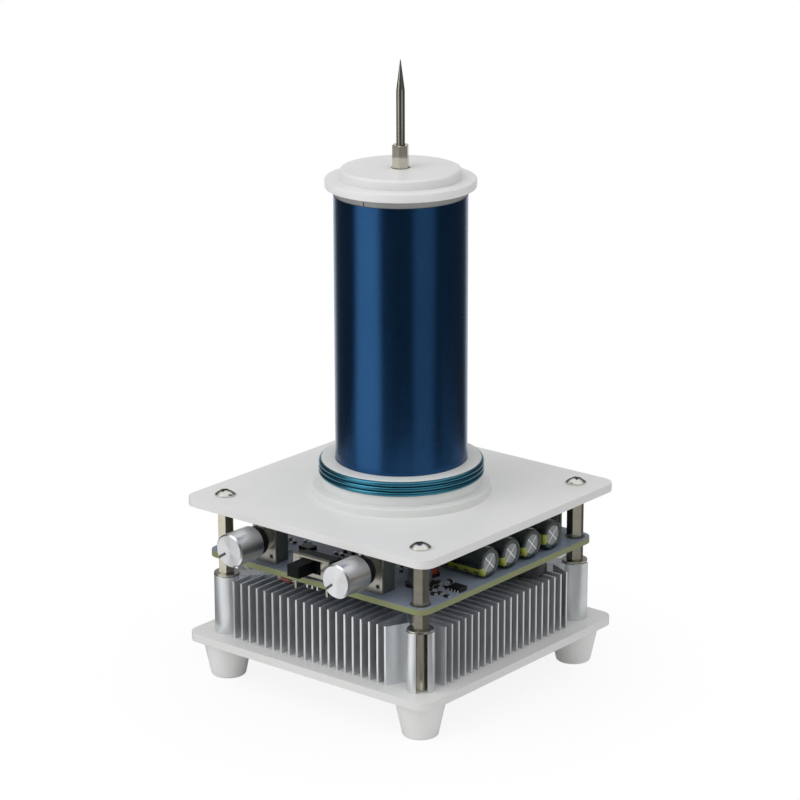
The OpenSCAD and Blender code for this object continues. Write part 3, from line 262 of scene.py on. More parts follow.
def surface(
    name, colour, rough, metallic=0.0, grain_mm=0.4, depth_mm=0.01, stretch=(1, 1, 1),
    mottle=0.04, mottle_mm=9.0, **sockets
):
    """A material with fine relief, slight mottling and uneven gloss, all at real scale.

    grain_mm is the size of the relief and depth_mm its height. stretch draws the grain out along an axis.
    """
    material = bpy.data.materials.new(name)
    material.use_nodes = True
    tree = material.node_tree
    shader = tree.nodes["Principled BSDF"]
    place = add(tree, "TexCoord").outputs["Object"]
    drawn = add(tree, "Mapping", {"Vector": place, "Scale": stretch}).outputs["Vector"]
    grain = add(
        tree, "TexNoise", {"Vector": drawn, "Scale": 1 / (grain_mm * MM), "Detail": 3.0, "Roughness": 0.6}
    ).outputs["Fac"]
    cloud = add(
        tree, "TexNoise", {"Vector": place, "Scale": 1 / (mottle_mm * MM), "Detail": 4.0, "Roughness": 0.65}
    ).outputs["Fac"]
    base = linear(*colour)
    pale = [min(1.0, channel * (1 + mottle)) for channel in base[:3]] + [1]
    deep = [channel * (1 - mottle) for channel in base[:3]] + [1]
    tint = add(tree, "ValToRGB", {"Fac": cloud})
    tint.color_ramp.elements[0].position = 0.3
    tint.color_ramp.elements[0].color = deep
    tint.color_ramp.elements[1].position = 0.7
    tint.color_ramp.elements[1].color = pale
    tree.links.new(tint.outputs["Color"], shader.inputs["Base Color"])
    gloss = add(tree, "MapRange", {"Value": grain, "To Min": rough * 0.82, "To Max": rough * 1.18})
    tree.links.new(gloss.outputs["Result"], shader.inputs["Roughness"])
    relief = add(tree, "Bump", {"Height": grain, "Distance": depth_mm * MM, "Strength": 1.0})
    tree.links.new(relief.outputs["Normal"], shader.inputs["Normal"])
    shader.inputs["Metallic"].default_value = metallic
    for socket, value in sockets.items():
        shader.inputs[socket.replace("_", " ")].default_value = value
    return material


def dress(name, material, edge_mm=0.0, corner_deg=35):
    """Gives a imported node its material, welds its mesh for smooth shading and softens its edges."""
    piece = cad[name]
    piece.data.materials.clear()
    piece.data.materials.append(material)
    bpy.context.view_layer.objects.active = piece
    bpy.ops.mesh.customdata_custom_splitnormals_clear()
    piece.data.polygons.foreach_set("use_smooth", [True] * len(piece.data.polygons))
    weld = piece.modifiers.new("weld", "WELD")
    weld.merge_threshold = 1e-6
    if edge_mm:
        edge = piece.modifiers.new("edge", "BEVEL")
        edge.width = edge_mm * MM
        edge.segments = 2
        edge.limit_method = "ANGLE"
        edge.angle_limit = math.radians(corner_deg)
        edge.harden_normals = True
    else:
        split = piece.modifiers.new("split", "EDGE_SPLIT")
        split.split_angle = math.radians(corner_deg)
    return piece


foot_plastic = surface("foot_plastic", WHITE, 0.42, grain_mm=0.25, depth_mm=0.006, mottle=0.02)
dress("feet", foot_plastic, 0.25)

# Screws: domed cross-head machine screws in bright zinc on steel. Four come up through the feet, four
# hold the top plate, two the transistors, and two the plugs of the tube.
screw_metal = surface(
    "bright_screws", (214, 212, 206), 0.17, metallic=1.0, grain_mm=0.12, depth_mm=0.002, mottle=0.08,
    mottle_mm=1.5
)
for name in ("foot_screws", "transistor_screws", "plug_screw", "terminal_screw", "top_screws"):
    dress(name, screw_metal, 0.06)

# Base plate: opal white sheet, sawn square, with rounded corners and softly broken edges. Its upright
# edges are painted a shade darker than its faces, as painted shade.
SHADED_EDGE_WHITE = (222, 222, 221)
plate_plastic = surface(
    "plate_plastic", WHITE, 0.38, grain_mm=0.5, depth_mm=0.004, mottle=0.015, mottle_mm=25
)


def blend(tree, share, under, over):
    """Colour over laid on colour under by this share."""
    mix = add(tree, "Mix", {"Factor": share}, data_type="RGBA")
    for socket, value in ((mix.inputs[6], under), (mix.inputs[7], over)):
        if isinstance(value, bpy.types.NodeSocket):
            tree.links.new(value, socket)
        else:
            socket.default_value = linear(*value)
    return mix.outputs[2]


def repaint(material, paint):
    """Lays further colour on a material: paint gets its tree, its base colour and its coordinates."""
    tree = material.node_tree
    shader = tree.nodes["Principled BSDF"]
    base = shader.inputs["Base Color"].links[0].from_socket
    place = add(tree, "TexCoord")
    over = paint(tree, base, place)
    tree.links.new(over, shader.inputs["Base Color"])


def plate_edge_shade(tree, base, place):
    """The upright edges all round, laid a shade darker as painted shade."""
    up = add(tree, "SeparateXYZ", {0: place.outputs["Normal"]}).outputs["Z"]
    edge = math_node(tree, "LESS_THAN", math_node(tree, "ABSOLUTE", up), 0.5)
    return blend(tree, edge, base, SHADED_EDGE_WHITE)


repaint(plate_plastic, plate_edge_shade)
dress("base_plate", plate_plastic, 0.3)

# Heatsink: one length of aluminium extrusion sawn off, etched and clear anodised. Die lines run up its
# fins, arms and slotted bosses.
sink_metal = surface(
    "anodised_fins", (226, 229, 231), 0.32, metallic=0.8, grain_mm=0.18, depth_mm=0.004,
    stretch=(1, 1, 0.04), mottle=0.05, mottle_mm=6
)


def painted_glint_paint(tree, base, place):
    """Painted glints: white specks laid by noise on the upward-facing sawn ends of the extrusion."""
    up = add(tree, "SeparateXYZ", {0: place.outputs["Normal"]}).outputs["Z"]
    glint_noise = add(
        tree, "TexNoise", {"Vector": place.outputs["Object"], "Scale": 1 / (0.9 * MM), "Detail": 2.0}
    ).outputs["Fac"]
    bright = add(tree, "MapRange", {"Value": glint_noise, "From Min": 0.5, "From Max": 0.66}).outputs["Result"]
    end = math_node(tree, "GREATER_THAN", up, 0.3)
    return blend(tree, math_node(tree, "MULTIPLY", end, bright), base, (255, 255, 255))


repaint(sink_metal, painted_glint_paint)
dress("heatsink", sink_metal, 0.08)

# Posts and washers: hexagonal spacers, nickel plated over brass, which leaves them a little warm. They
# screw into each other through the board, with a washer on each boss.
post_metal = surface(
    "nickel_posts", (206, 200, 184), 0.20, metallic=1.0, grain_mm=0.3, depth_mm=0.002,
    stretch=(1, 1, 0.25), mottle=0.08, mottle_mm=3
)
washer_metal = surface(
    "nickel_sheet", (196, 192, 180), 0.28, metallic=1.0, grain_mm=0.3, depth_mm=0.002, mottle=0.06,
    mottle_mm=3
)
for name in ("boss_posts", "lower_posts", "upper_posts"):
    dress(name, post_metal)
dress("washers", washer_metal, 0.06)

# Circuit board: glass-filled epoxy with a pale blue-grey solder mask on both faces and bare
# yellow-green edges where it was routed out. A pad rings each of the four posts, painted dark partly as
# the pad and partly as painted shadow at the post's foot.
MASK = (138, 150, 168)
EPOXY = (132, 137, 100)
TRACK = (104, 116, 138)
PAD_AND_SHADOW = (84, 83, 78)
PAD_RING_MM = 3.4


def solids(name):
    """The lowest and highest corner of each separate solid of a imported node."""
    piece = cad[name]
    corners = {}
    group = []
    for vertex in piece.data.vertices:
        key = tuple(round(value / (0.01 * MM)) for value in vertex.co)
        group.append(corners.setdefault(key, len(corners)))
    root = list(range(len(corners)))

    def top(item):
        while root[item] != item:
            root[item] = root[root[item]]
            item = root[item]
        return item

    for polygon in piece.data.polygons:
        ends = [top(group[index]) for index in polygon.vertices]
        for end in ends[1:]:
            root[top(end)] = top(ends[0])
    found = {}
    for vertex, item in zip(piece.data.vertices, group):
        found.setdefault(top(item), []).append(vertex.co)
    boxes = [(Vector(map(min, *points)), Vector(map(max, *points))) for points in found.values()]
    return sorted(boxes, key=lambda pair: tuple(round(value, 5) for value in pair[0]))


def board_paint(tree, base, place):
    """Faint tracks under the mask, a pad round each post darkened partly as painted shadow, and bare epoxy
    at the routed edges.
    """
    spot = add(tree, "SeparateXYZ", {0: place.outputs["Object"]})
    away_x = math_node(tree, "SUBTRACT", math_node(tree, "ABSOLUTE", spot.outputs["X"]), post_at)
    away_y = math_node(tree, "SUBTRACT", math_node(tree, "ABSOLUTE", spot.outputs["Y"]), post_at)
    away = math_node(
        tree, "SQRT",
        math_node(tree, "ADD", math_node(tree, "POWER", away_x, 2.0), math_node(tree, "POWER", away_y, 2.0)),
    )
    ring = between(tree, away, 0.0, PAD_RING_MM * MM, 0.05 * MM)
    tracks = add(
        tree, "TexBrick",
        {"Vector": place.outputs["Object"], "Scale": 120.0, "Mortar Size": 0.035, "Mortar Smooth": 0.4,
         "Brick Width": 1.7, "Row Height": 0.42},
        offset=0.37, squash=1.4, squash_frequency=3,
    )
    traced = blend(tree, math_node(tree, "MULTIPLY", tracks.outputs["Fac"], 0.2), base, TRACK)
    padded_and_shaded = blend(tree, ring, traced, PAD_AND_SHADOW)
    upright = math_node(
        tree, "ABSOLUTE", add(tree, "SeparateXYZ", {0: place.outputs["Normal"]}).outputs["Z"]
    )
    edge = math_node(tree, "LESS_THAN", upright, 0.5)
    return blend(tree, edge, padded_and_shaded, EPOXY)


post_at = sum(corner.x for corner in solids("boss_posts")[-1]) / 2
board_coat = surface(
    "board", MASK, 0.33, grain_mm=0.6, depth_mm=0.004, mottle=0.03, mottle_mm=12, Specular_IOR_Level=0.15
)
repaint(board_coat, board_paint)
dress("circuit_board", board_coat, 0.08)

# Power transistors: moulded black cases on nickelled tabs, each on a grey insulating pad and held to
# the heatsink's core by a screw. Their leads are bent up into the board.
case_plastic = surface(
    "chip_plastic", (16, 18, 19), 0.42, grain_mm=0.15, depth_mm=0.006, mottle=0.08, mottle_mm=2,
    Specular_IOR_Level=0.3
)
tab_metal = surface("tab_metal", (184, 183, 178), 0.32, metallic=1.0, grain_mm=0.3, depth_mm=0.002)
pad_rubber = surface("insulating_pad", (168, 170, 168), 0.62, grain_mm=0.2, depth_mm=0.004, mottle=0.06)
lead_metal = surface(
    "tinned_wire", (214, 214, 210), 0.28, metallic=0.7, grain_mm=0.25, depth_mm=0.004, mottle=0.08,
    mottle_mm=1.5
)
dress("transistor_pads", pad_rubber)
dress("transistor_tabs", tab_metal, 0.06)
dress("transistor_bodies", case_plastic, 0.15)
dress("transistor_leads", lead_metal)

# Choke and signal diode: both hang under the board, the choke in shrunk black sleeve by the right edge
# and the small glass diode on its wires behind the front edge.
choke_sleeve = surface(
    "choke_sleeve", (34, 35, 38), 0.38, grain_mm=0.5, depth_mm=0.02, mottle=0.1, mottle_mm=4
)
diode_glass = surface(
    "diode_glass", (122, 38, 30), 0.12, grain_mm=0.4, depth_mm=0.003, mottle=0.1, mottle_mm=1.2,
    Coat_Weight=0.6, Coat_Roughness=0.05
)
DIODE_BAND = (30, 28, 30)
DIODE_WIRE = (176, 176, 172)
BAND_FROM_MM = 1.1
BAND_WIDTH_MM = 0.7
GLASS_HALF_MM = 2.02
diode_low, diode_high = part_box("signal_diode")
diode_middle = (diode_low + diode_high) / 2


def diode_paint(tree, base, place):
    """A dark band near one end of the glass, and bare wire beyond both ends."""
    along = math_node(
        tree, "SUBTRACT", add(tree, "SeparateXYZ", {0: place.outputs["Object"]}).outputs["X"], diode_middle.x
    )
    band = between(tree, along, BAND_FROM_MM * MM, (BAND_FROM_MM + BAND_WIDTH_MM) * MM, 0.02 * MM)
    banded = blend(tree, band, base, DIODE_BAND)
    wire = math_node(tree, "GREATER_THAN", math_node(tree, "ABSOLUTE", along), GLASS_HALF_MM * MM)
    return blend(tree, wire, banded, DIODE_WIRE)


repaint(diode_glass, diode_paint)
dress("choke", choke_sleeve)
dress("choke_pins", lead_metal)
dress("signal_diode", diode_glass)

# Capacitors: four aluminium cans laid on the board, each in a shrunk sleeve of dark green film with a
# paler stripe of minus marks. Their rubber bungs and leads face inwards and their scored vents outwards.
SLEEVE = (22, 36, 34)
STRIPE = (136, 142, 42)
STRIPE_TURNS_DEG = (214, 206, 202, 186)
STRIPE_HALF_DEG = 21
MARK_PITCH_MM = 4.2
MARK_MM = (1.4, 3.1)
MARK_HALF_DEG = 6
SCORE_HIGHLIGHT = (250, 250, 250)
SCORE_HALF_MM = 0.22
sleeves = solids("capacitor_sleeves")
can_ys = [(low.y + high.y) / 2 for low, high in sleeves]
can_z = (sleeves[0][0].z + sleeves[0][1].z) / 2
can_pitch = can_ys[1] - can_ys[0]
vent_x = sleeves[0][1].x


def from_can_axis(tree, place):
    """The number of the can that a point belongs to, and how far across and up it lies from its axis."""
    spot = add(tree, "SeparateXYZ", {0: place.outputs["Object"]})
    from_first = math_node(tree, "SUBTRACT", spot.outputs["Y"], can_ys[0] - can_pitch / 2)
    number = math_node(tree, "FLOOR", math_node(tree, "DIVIDE", from_first, can_pitch))
    beyond = math_node(tree, "SUBTRACT", from_first, math_node(tree, "MULTIPLY", number, can_pitch))
    across = math_node(tree, "SUBTRACT", beyond, can_pitch / 2)
    return number, across, math_node(tree, "SUBTRACT", spot.outputs["Z"], can_z)


def within(tree, angle, half_deg):
    """1 within so many degrees of angle zero."""
    half = math.radians(half_deg)
    return between(tree, angle, -half, half, math.radians(1))


def striped(tree, base, off, along, mark_half_deg):
    """Lays the stripe and its minus marks on a sleeve.

    off is the angle from the stripe's middle, and along runs the length of the can.
    """
    beat = math_node(tree, "FLOORED_MODULO", along, MARK_PITCH_MM * MM)
    mark = between(tree, beat, MARK_MM[0] * MM, MARK_MM[1] * MM, 0.08 * MM)
    marked = math_node(tree, "MULTIPLY", mark, within(tree, off, mark_half_deg))
    cut = math_node(tree, "SUBTRACT", 1.0, marked)
    return blend(tree, math_node(tree, "MULTIPLY", within(tree, off, STRIPE_HALF_DEG), cut), base, STRIPE)


def sleeve_paint(tree, base, place):
    """The stripe, which points another way on each can."""
    number, across, rise = from_can_axis(tree, place)
    angle = math_node(tree, "ARCTAN2", rise, across)
    middle = math.radians(STRIPE_TURNS_DEG[-1])
    for index, turn in enumerate(STRIPE_TURNS_DEG[:-1]):
        here = math_node(tree, "COMPARE", number, float(index), 0.1)
        middle = math_node(
            tree, "ADD", middle, math_node(tree, "MULTIPLY", here, math.radians(turn - STRIPE_TURNS_DEG[-1]))
        )
    off = math_node(tree, "SUBTRACT", angle, middle)
    off = math_node(tree, "WRAP", off, math.pi, -math.pi)
    spot = add(tree, "SeparateXYZ", {0: place.outputs["Object"]})
    along = math_node(tree, "SUBTRACT", vent_x, spot.outputs["X"])
    return striped(tree, base, off, along, MARK_HALF_DEG)


def shrunk_film(name, paint):
    """The sleeves' glossy film with its own stripe."""
    film = surface(
        name, SLEEVE, 0.22, grain_mm=0.9, depth_mm=0.02, mottle=0.08, mottle_mm=3, Coat_Weight=0.3,
        Coat_Roughness=0.12
    )
    repaint(film, paint)
    return film


can_metal = surface(
    "can_metal", (205, 207, 208), 0.3, metallic=1.0, grain_mm=0.2, depth_mm=0.004, mottle=0.05, mottle_mm=2
)
bung_rubber = surface("bung_rubber", (40, 40, 42), 0.6, grain_mm=0.2, depth_mm=0.01)
vent_metal = surface(
    "vent_metal", (150, 155, 157), 0.34, metallic=0.5, grain_mm=0.2, depth_mm=0.004, mottle=0.05, mottle_mm=2
)


def score_paint(tree, base, place):
    """Two scored lines that cross on the axis of each vent, laid near white as a painted highlight."""
    across, rise = from_can_axis(tree, place)[1:]
    for way in (1, -1):
        off = math_node(tree, "ADD", across, math_node(tree, "MULTIPLY", rise, float(way)))
        line = between(tree, off, -SCORE_HALF_MM * MM, SCORE_HALF_MM * MM, 0.06 * MM)
        base = blend(tree, line, base, SCORE_HIGHLIGHT)
    return base


repaint(vent_metal, score_paint)
dress("capacitor_sleeves", shrunk_film("sleeve_film", sleeve_paint))
dress("capacitor_cans", vent_metal)
dress("capacitor_bungs", bung_rubber)
dress("capacitor_leads", lead_metal)

# Surface-mounted parts: moulded chips with formed leads, and small chip resistors and capacitors with
# tinned ends, all soldered to the board's top face. Eleven more of these stand in clusters by the switch
# and the front right post, each given by its place, its turn in degrees and its height.
MORE_PARTS_MM = (
    (-8.9, -22.3, 0, 0.65), (-7.4, -19.4, 0, 1.1), (-4.1, -19.3, 0, 1.1), (-29.9, -21.4, 0, 0.65),
    (-30.2, -24.4, 0, 1.1), (-24.2, -20.2, 0, 0.65), (36.2, -29.2, 0, 0.65), (38.3, -25.3, 90, 0.65),
    (36.2, -26.3, 0, 0.65), (40.2, -30.2, 0, 0.65), (36.6, -20.6, 90, 1.1)
)
PART_HALF_MM = (1.3, 0.75)
PART_END_MM = 0.45
ceramic = surface("ceramic_parts", (24, 24, 27), 0.4, grain_mm=0.1, depth_mm=0.003, mottle=0.1, mottle_mm=1)
dress("chip_bodies", case_plastic, 0.12)
dress("chip_leads", lead_metal)
dress("small_part_bodies", ceramic, 0.05)
dress("small_part_ends", lead_metal, 0.04)


def merge(name, meshes, material, body):
    """One piece made of many closed meshes, each a pair of its points and its faces."""
    points, faces = [], []
    for own_points, own_faces in meshes:
        faces += [[index + len(points) for index in face] for face in own_faces]
        points += [tuple(point) for point in own_points]
    mesh = bpy.data.meshes.new(name)
    mesh.from_pydata(points, [], faces)
    mesh.validate()
    mesh.materials.append(material)
    piece = bpy.data.objects.new(name, mesh)
    bpy.context.scene.collection.objects.link(piece)
    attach(piece, body)
    return piece


def block(low, high):
    """A box between two opposite corners."""
    points = [(x, y, z) for x in (low[0], high[0]) for y in (low[1], high[1]) for z in (low[2], high[2])]
    return points, [[0, 1, 3, 2], [4, 6, 7, 5], [0, 4, 5, 1], [2, 3, 7, 6], [0, 2, 6, 4], [1, 5, 7, 3]]


board_under, board_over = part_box("circuit_board")[0].z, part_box("circuit_board")[1].z
more_bodies, more_ends = [], []
for x, y, turn_deg, height in MORE_PARTS_MM:
    for start, end, wide, made in (
        (PART_END_MM - PART_HALF_MM[0], PART_HALF_MM[0] - PART_END_MM, PART_HALF_MM[1], more_bodies),
        (-PART_HALF_MM[0], PART_END_MM - PART_HALF_MM[0], PART_HALF_MM[1], more_ends),
        (PART_HALF_MM[0] - PART_END_MM, PART_HALF_MM[0], PART_HALF_MM[1], more_ends),
    ):
        low, high = ((-wide, start), (wide, end)) if turn_deg else ((start, -wide), (end, wide))
        made.append(block(
            ((x + low[0]) * MM, (y + low[1]) * MM, board_over),
            ((x + high[0]) * MM, (y + high[1]) * MM, board_over + height * MM),
        ))
merge("more_part_bodies", more_bodies, ceramic, "base")
merge("more_part_ends", more_ends, lead_metal, "base")


def turned(profile, centre, sides=20):
    """A solid turned about the vertical axis through centre, from (radius, height) pairs."""
    turns = [2 * math.pi * k / sides for k in range(sides)]
    points = [
        (centre[0] + r * math.cos(turn), centre[1] + r * math.sin(turn), z)
        for r, z in profile for turn in turns
    ]
    rings = len(profile)
    faces = [
        [i * sides + k, i * sides + (k + 1) % sides, (i + 1) * sides + (k + 1) % sides, (i + 1) * sides + k]
        for i in range(rings - 1) for k in range(sides)
    ]
    faces.append(list(range(sides))[::-1])
    faces.append([(rings - 1) * sides + k for k in range(sides)])
    return points, faces


# Solder: bright cones round every lead that goes through the board: under it for all of them, and on
# its top face too for the capacitors and transistors. The tails of the leads stand out below.
FILLET_R_MM = 0.95
FILLET_H_MM = 0.75
FILLET_SHAPE = ((1.0, 0.0), (0.9, 0.12), (0.62, 0.34), (0.42, 0.68), (0.34, 1.0))
SOLDERED_BELOW = ("pot_pins", "switch_pins", "jack_pins", "choke_pins")
SOLDERED_BOTH_SIDES = ("capacitor_leads", "transistor_leads")
solder_metal = surface(
    "solder", (206, 207, 206), 0.2, metallic=1.0, grain_mm=0.5, depth_mm=0.02, mottle=0.06, mottle_mm=1
)
joints = []
for name in SOLDERED_BELOW + SOLDERED_BOTH_SIDES:
    for low, high in solids(name):
        if name == "transistor_leads":
            spot, tip = ((low.x + high.x) / 2, high.y - (high.x - low.x) / 3), (high.x - low.x) / 2
        elif name == "capacitor_leads":
            spot, tip = (low.x + (high.y - low.y) / 2, (low.y + high.y) / 2), (high.y - low.y) / 2
        else:
            spot, tip = ((low.x + high.x) / 2, (low.y + high.y) / 2), min(high.x - low.x, high.y - low.y) / 2
        for start, way in ((board_under, -1), (board_over, 1)):
            if way > 0 and name in SOLDERED_BELOW:
                continue
            profile = [
                (max(share * FILLET_R_MM * MM, tip * 0.8), start + way * rise * FILLET_H_MM * MM)
                for share, rise in FILLET_SHAPE
            ]
            joints.append(turned(profile if way > 0 else profile[::-1], spot))
merge("solder_joints", joints, solder_metal, "base")

# Drum choke: a black ferrite bobbin with a few turns of red-brown enamelled wire. It stands on the
# board behind the reservoir capacitor, held by the solder under its lower flange.
DRUM_SPOT_MM = (27.3, -18.7)
DRUM_R_MM = 3.0
DRUM_CORE_R_MM = 2.3
DRUM_FLANGES_MM = ((0.0, 0.9), (4.3, 5.0))
DRUM_TURNS = 6
DRUM_WIRE_R_MM = 0.28
BULGE_STEPS = 6


def standing(profile_mm, spot_mm, sides):
    """A solid turned about an upright axis on the board, from (radius, height) pairs in millimetres."""
    profile = [(r * MM, board_over + rise * MM) for r, rise in profile_mm]
    return turned(profile, [value * MM for value in spot_mm], sides)


flanges = [
    standing(((DRUM_R_MM, low), (DRUM_R_MM, high)), DRUM_SPOT_MM, 32) for low, high in DRUM_FLANGES_MM
]
(_, wound_from), (wound_to, _) = DRUM_FLANGES_MM
wound_steps = DRUM_TURNS * BULGE_STEPS
wound = [
    (DRUM_CORE_R_MM + DRUM_WIRE_R_MM * math.sin(math.pi * (step % BULGE_STEPS) / BULGE_STEPS),
     wound_from + step * (wound_to - wound_from) / wound_steps)
    for step in range(wound_steps + 1)
]
drum_enamel = surface(
    "drum_enamel", (182, 84, 62), 0.28, metallic=0.6, grain_mm=0.3, depth_mm=0.004, mottle=0.15, mottle_mm=1
)
ferrite = surface("ferrite", (26, 27, 29), 0.5, grain_mm=0.2, depth_mm=0.01, mottle=0.1, mottle_mm=1)
merge("drum_flanges", flanges, ferrite, "base")
merge("drum_wire", [standing(wound, DRUM_SPOT_MM, 32)], drum_enamel, "base")

# Standing capacitor: one more can in shrunk green film, with its bare top upward. It stands on the board
# behind the row. Its leads are left out, as its own foot hides them.
UPRIGHT_SPOT_MM = (34.8, 35.8)
UPRIGHT_STRIPE_DEG = 150
UPRIGHT_MARK_HALF_DEG = 8
UPRIGHT_SLEEVE_MM = ((3.6, 0), (4, 0.5), (4, 10.7), (3.85, 11.1), (3.5, 11.3))
UPRIGHT_TOP_MM = ((3.1, 11.3), (3.1, 11.35))


def upright_paint(tree, base, place):
    """One stripe, turned to the back."""
    spot = add(tree, "SeparateXYZ", {0: place.outputs["Object"]})
    across = math_node(tree, "SUBTRACT", spot.outputs["X"], UPRIGHT_SPOT_MM[0] * MM)
    beyond = math_node(tree, "SUBTRACT", spot.outputs["Y"], UPRIGHT_SPOT_MM[1] * MM)
    off = math_node(
        tree, "SUBTRACT", math_node(tree, "ARCTAN2", beyond, across), math.radians(UPRIGHT_STRIPE_DEG)
    )
    return striped(tree, base, off, spot.outputs["Z"], UPRIGHT_MARK_HALF_DEG)


upright_film = shrunk_film("upright_film", upright_paint)
for name, profile, material, slot in (
    ("upright_sleeve", UPRIGHT_SLEEVE_MM, upright_film, "sleeve_film"),
    ("upright_can", UPRIGHT_TOP_MM, vent_metal, "can_metal"),
):
    merge(name, [standing(profile, UPRIGHT_SPOT_MM, 48)], material, "base")

# Reservoir capacitor: a bare aluminium can on a black moulded base, beside the front right post.
base_plastic = surface("phenolic_black", (30, 30, 31), 0.5, grain_mm=0.2, depth_mm=0.004)
dress("reservoir_can", can_metal)
dress("reservoir_base", base_plastic, 0.1)

# Potentiometers: a pressed nickel face riveted to a dark moulded body, with a plain steel shaft and
# flat solder pins down through the board.
pot_metal = surface(
    "pot_face", (172, 170, 160), 0.34, metallic=0.9, grain_mm=0.35, depth_mm=0.004, mottle=0.06, mottle_mm=4
)
pot_plastic = surface(
    "pot_plastic", (78, 85, 81), 0.5, grain_mm=0.2, depth_mm=0.006, mottle=0.08, mottle_mm=3
)
shaft_metal = surface("shaft_metal", (190, 190, 188), 0.25, metallic=1.0, grain_mm=0.2, depth_mm=0.002)
insert_plastic = surface(
    "insert_plastic", (16, 16, 17), 0.42, grain_mm=0.2, depth_mm=0.004, Specular_IOR_Level=0.3
)
RIVET = (30, 32, 31)


def rivet_paint(tree, base, place):
    """The rivets' heads, which alone face forward through the sheet, are darker than the body."""
    facing = add(tree, "SeparateXYZ", {0: place.outputs["Normal"]}).outputs["Y"]
    return blend(tree, math_node(tree, "LESS_THAN", facing, -0.5), base, RIVET)


repaint(pot_plastic, rivet_paint)
for side in ("left", "right"):
    dress(side + "_pot_face", pot_metal, 0.1)
    dress(side + "_pot_body", pot_plastic, 0.12)
    dress(side + "_pot_shaft", shaft_metal)
dress("pot_pins", lead_metal)

# Knobs: aluminium shells turned in a lathe round black press-in cores. The ends are faced to a shallow
# cone, so light fans out over them, and a milled groove shows how far they are turned.
RING_PITCH_MM = 0.16
POINTER_MM = 0.95
POINTER_FROM_MM = 1.8
POINTER_DEEP_MM = 0.3
POINTER_SHADE = (96, 97, 99)
POINTER_DEG = {"left_knob": 214, "right_knob": 219}


def knob_finish(name, pointer):
    """Turned metal: fine rings about the knob's axis, and a groove that points this way, darkened as painted
    shade.
    """
    metal = surface(
        name + "_metal", (226, 227, 229), 0.30, metallic=1.0, grain_mm=0.25, depth_mm=0.0015, mottle=0.02
    )
    tree = metal.node_tree
    shader = tree.nodes["Principled BSDF"]
    low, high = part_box(name)
    axis = (low + high) / 2
    place = add(tree, "TexCoord").outputs["Object"]
    from_axis = add(tree, "VectorMath", {0: place, 1: (axis.x, 0, axis.z)}, operation="SUBTRACT").outputs[0]
    spot = add(tree, "SeparateXYZ", {0: from_axis})
    flat = add(tree, "CombineXYZ", {"X": spot.outputs["X"], "Z": spot.outputs["Z"]}).outputs[0]
    radius = add(tree, "VectorMath", {0: flat}, operation="LENGTH").outputs["Value"]
    turns = math_node(tree, "ADD", radius, spot.outputs["Y"])
    groove = math_node(tree, "SINE", math_node(tree, "MULTIPLY", turns, 2 * math.pi / (RING_PITCH_MM * MM)))
    cut = add(tree, "Bump", {"Height": groove, "Distance": 0.0012 * MM, "Strength": 1.0})
    tree.links.new(shader.inputs["Normal"].links[0].from_socket, cut.inputs["Normal"])
    tree.links.new(cut.outputs["Normal"], shader.inputs["Normal"])
    way = add(tree, "Tangent", direction_type="RADIAL", axis="Y")
    tree.links.new(way.outputs["Tangent"], shader.inputs["Tangent"])
    shader.inputs["Anisotropic"].default_value = 0.85
    shader.inputs["Anisotropic Rotation"].default_value = 0.25
    base = shader.inputs["Base Color"].links[0].from_socket
    along = add(tree, "VectorMath", {0: flat, 1: pointer}, operation="DOT_PRODUCT").outputs["Value"]
    aside = add(
        tree, "VectorMath", {0: flat, 1: (-pointer.z, 0, pointer.x)}, operation="DOT_PRODUCT"
    ).outputs["Value"]
    half = POINTER_MM / 2 * MM
    groove_shade = math_node(
        tree, "MULTIPLY", between(tree, aside, -half, half, 0.01 * MM),
        math_node(tree, "GREATER_THAN", along, POINTER_FROM_MM * MM),
    )
    below_rim = math_node(tree, "GREATER_THAN", spot.outputs["Y"], low.y + POINTER_DEEP_MM * MM)
    # Painted shade: the groove below the face is laid darker.
    base = blend(tree, math_node(tree, "MULTIPLY", groove_shade, below_rim), base, POINTER_SHADE)
    tree.links.new(base, shader.inputs["Base Color"])
    return metal


for name, angle in POINTER_DEG.items():
    pointer = Vector((math.cos(math.radians(angle)), 0, math.sin(math.radians(angle))))
    dress(name, knob_finish(name, pointer), 0.05)
    dress(name + "_insert", insert_plastic, 0.08)

# Slide switch: a nickel frame bent over a black body on a brown phenolic base, with a black lever.
frame_metal = surface(
    "switch_nickel", (178, 175, 164), 0.33, metallic=0.95, grain_mm=0.3, depth_mm=0.004, mottle=0.06,
    mottle_mm=3
)
switch_plastic = surface(
    "switch_plastic", (32, 35, 36), 0.45, grain_mm=0.2, depth_mm=0.006, Specular_IOR_Level=0.3
)
phenolic = surface("phenolic", (112, 84, 60), 0.5, grain_mm=0.4, depth_mm=0.006, mottle=0.12, mottle_mm=1.5)
lever_plastic = surface(
    "lever_plastic", (9, 11, 14), 0.40, grain_mm=0.15, depth_mm=0.006, mottle=0.08, mottle_mm=2,
    Specular_IOR_Level=0.12
)
dress("switch_frame", frame_metal, 0.05)
dress("switch_body", switch_plastic, 0.1)
dress("switch_base", phenolic, 0.05)
dress("switch_lever", lever_plastic, 0.22)
dress("switch_pins", lead_metal)

# Jacks: a power jack and an audio jack, moulded in black, on the board's back edge.
jack_plastic = surface("jack_plastic", (26, 26, 27), 0.44, grain_mm=0.2, depth_mm=0.006)
dress("dc_jack", jack_plastic, 0.15)
dress("audio_jack", jack_plastic, 0.12)
dress("dc_jack_pin", shaft_metal)
dress("jack_pins", lead_metal)

# Top plate and bottom plug: the second plate, and the white plug that a screw from below draws against
# it to hold the tube upright.
dress("top_plate", plate_plastic, 0.3)
dress("bottom_plug", foot_plastic)

# Former: a flanged ring turned from milky plastic, with a groove for the primary winding under its lip.
former_plastic = surface(
    "former_plastic", (226, 228, 226), 0.32, grain_mm=0.3, depth_mm=0.003, mottle=0.02, mottle_mm=15
)
dress("primary_former", former_plastic)

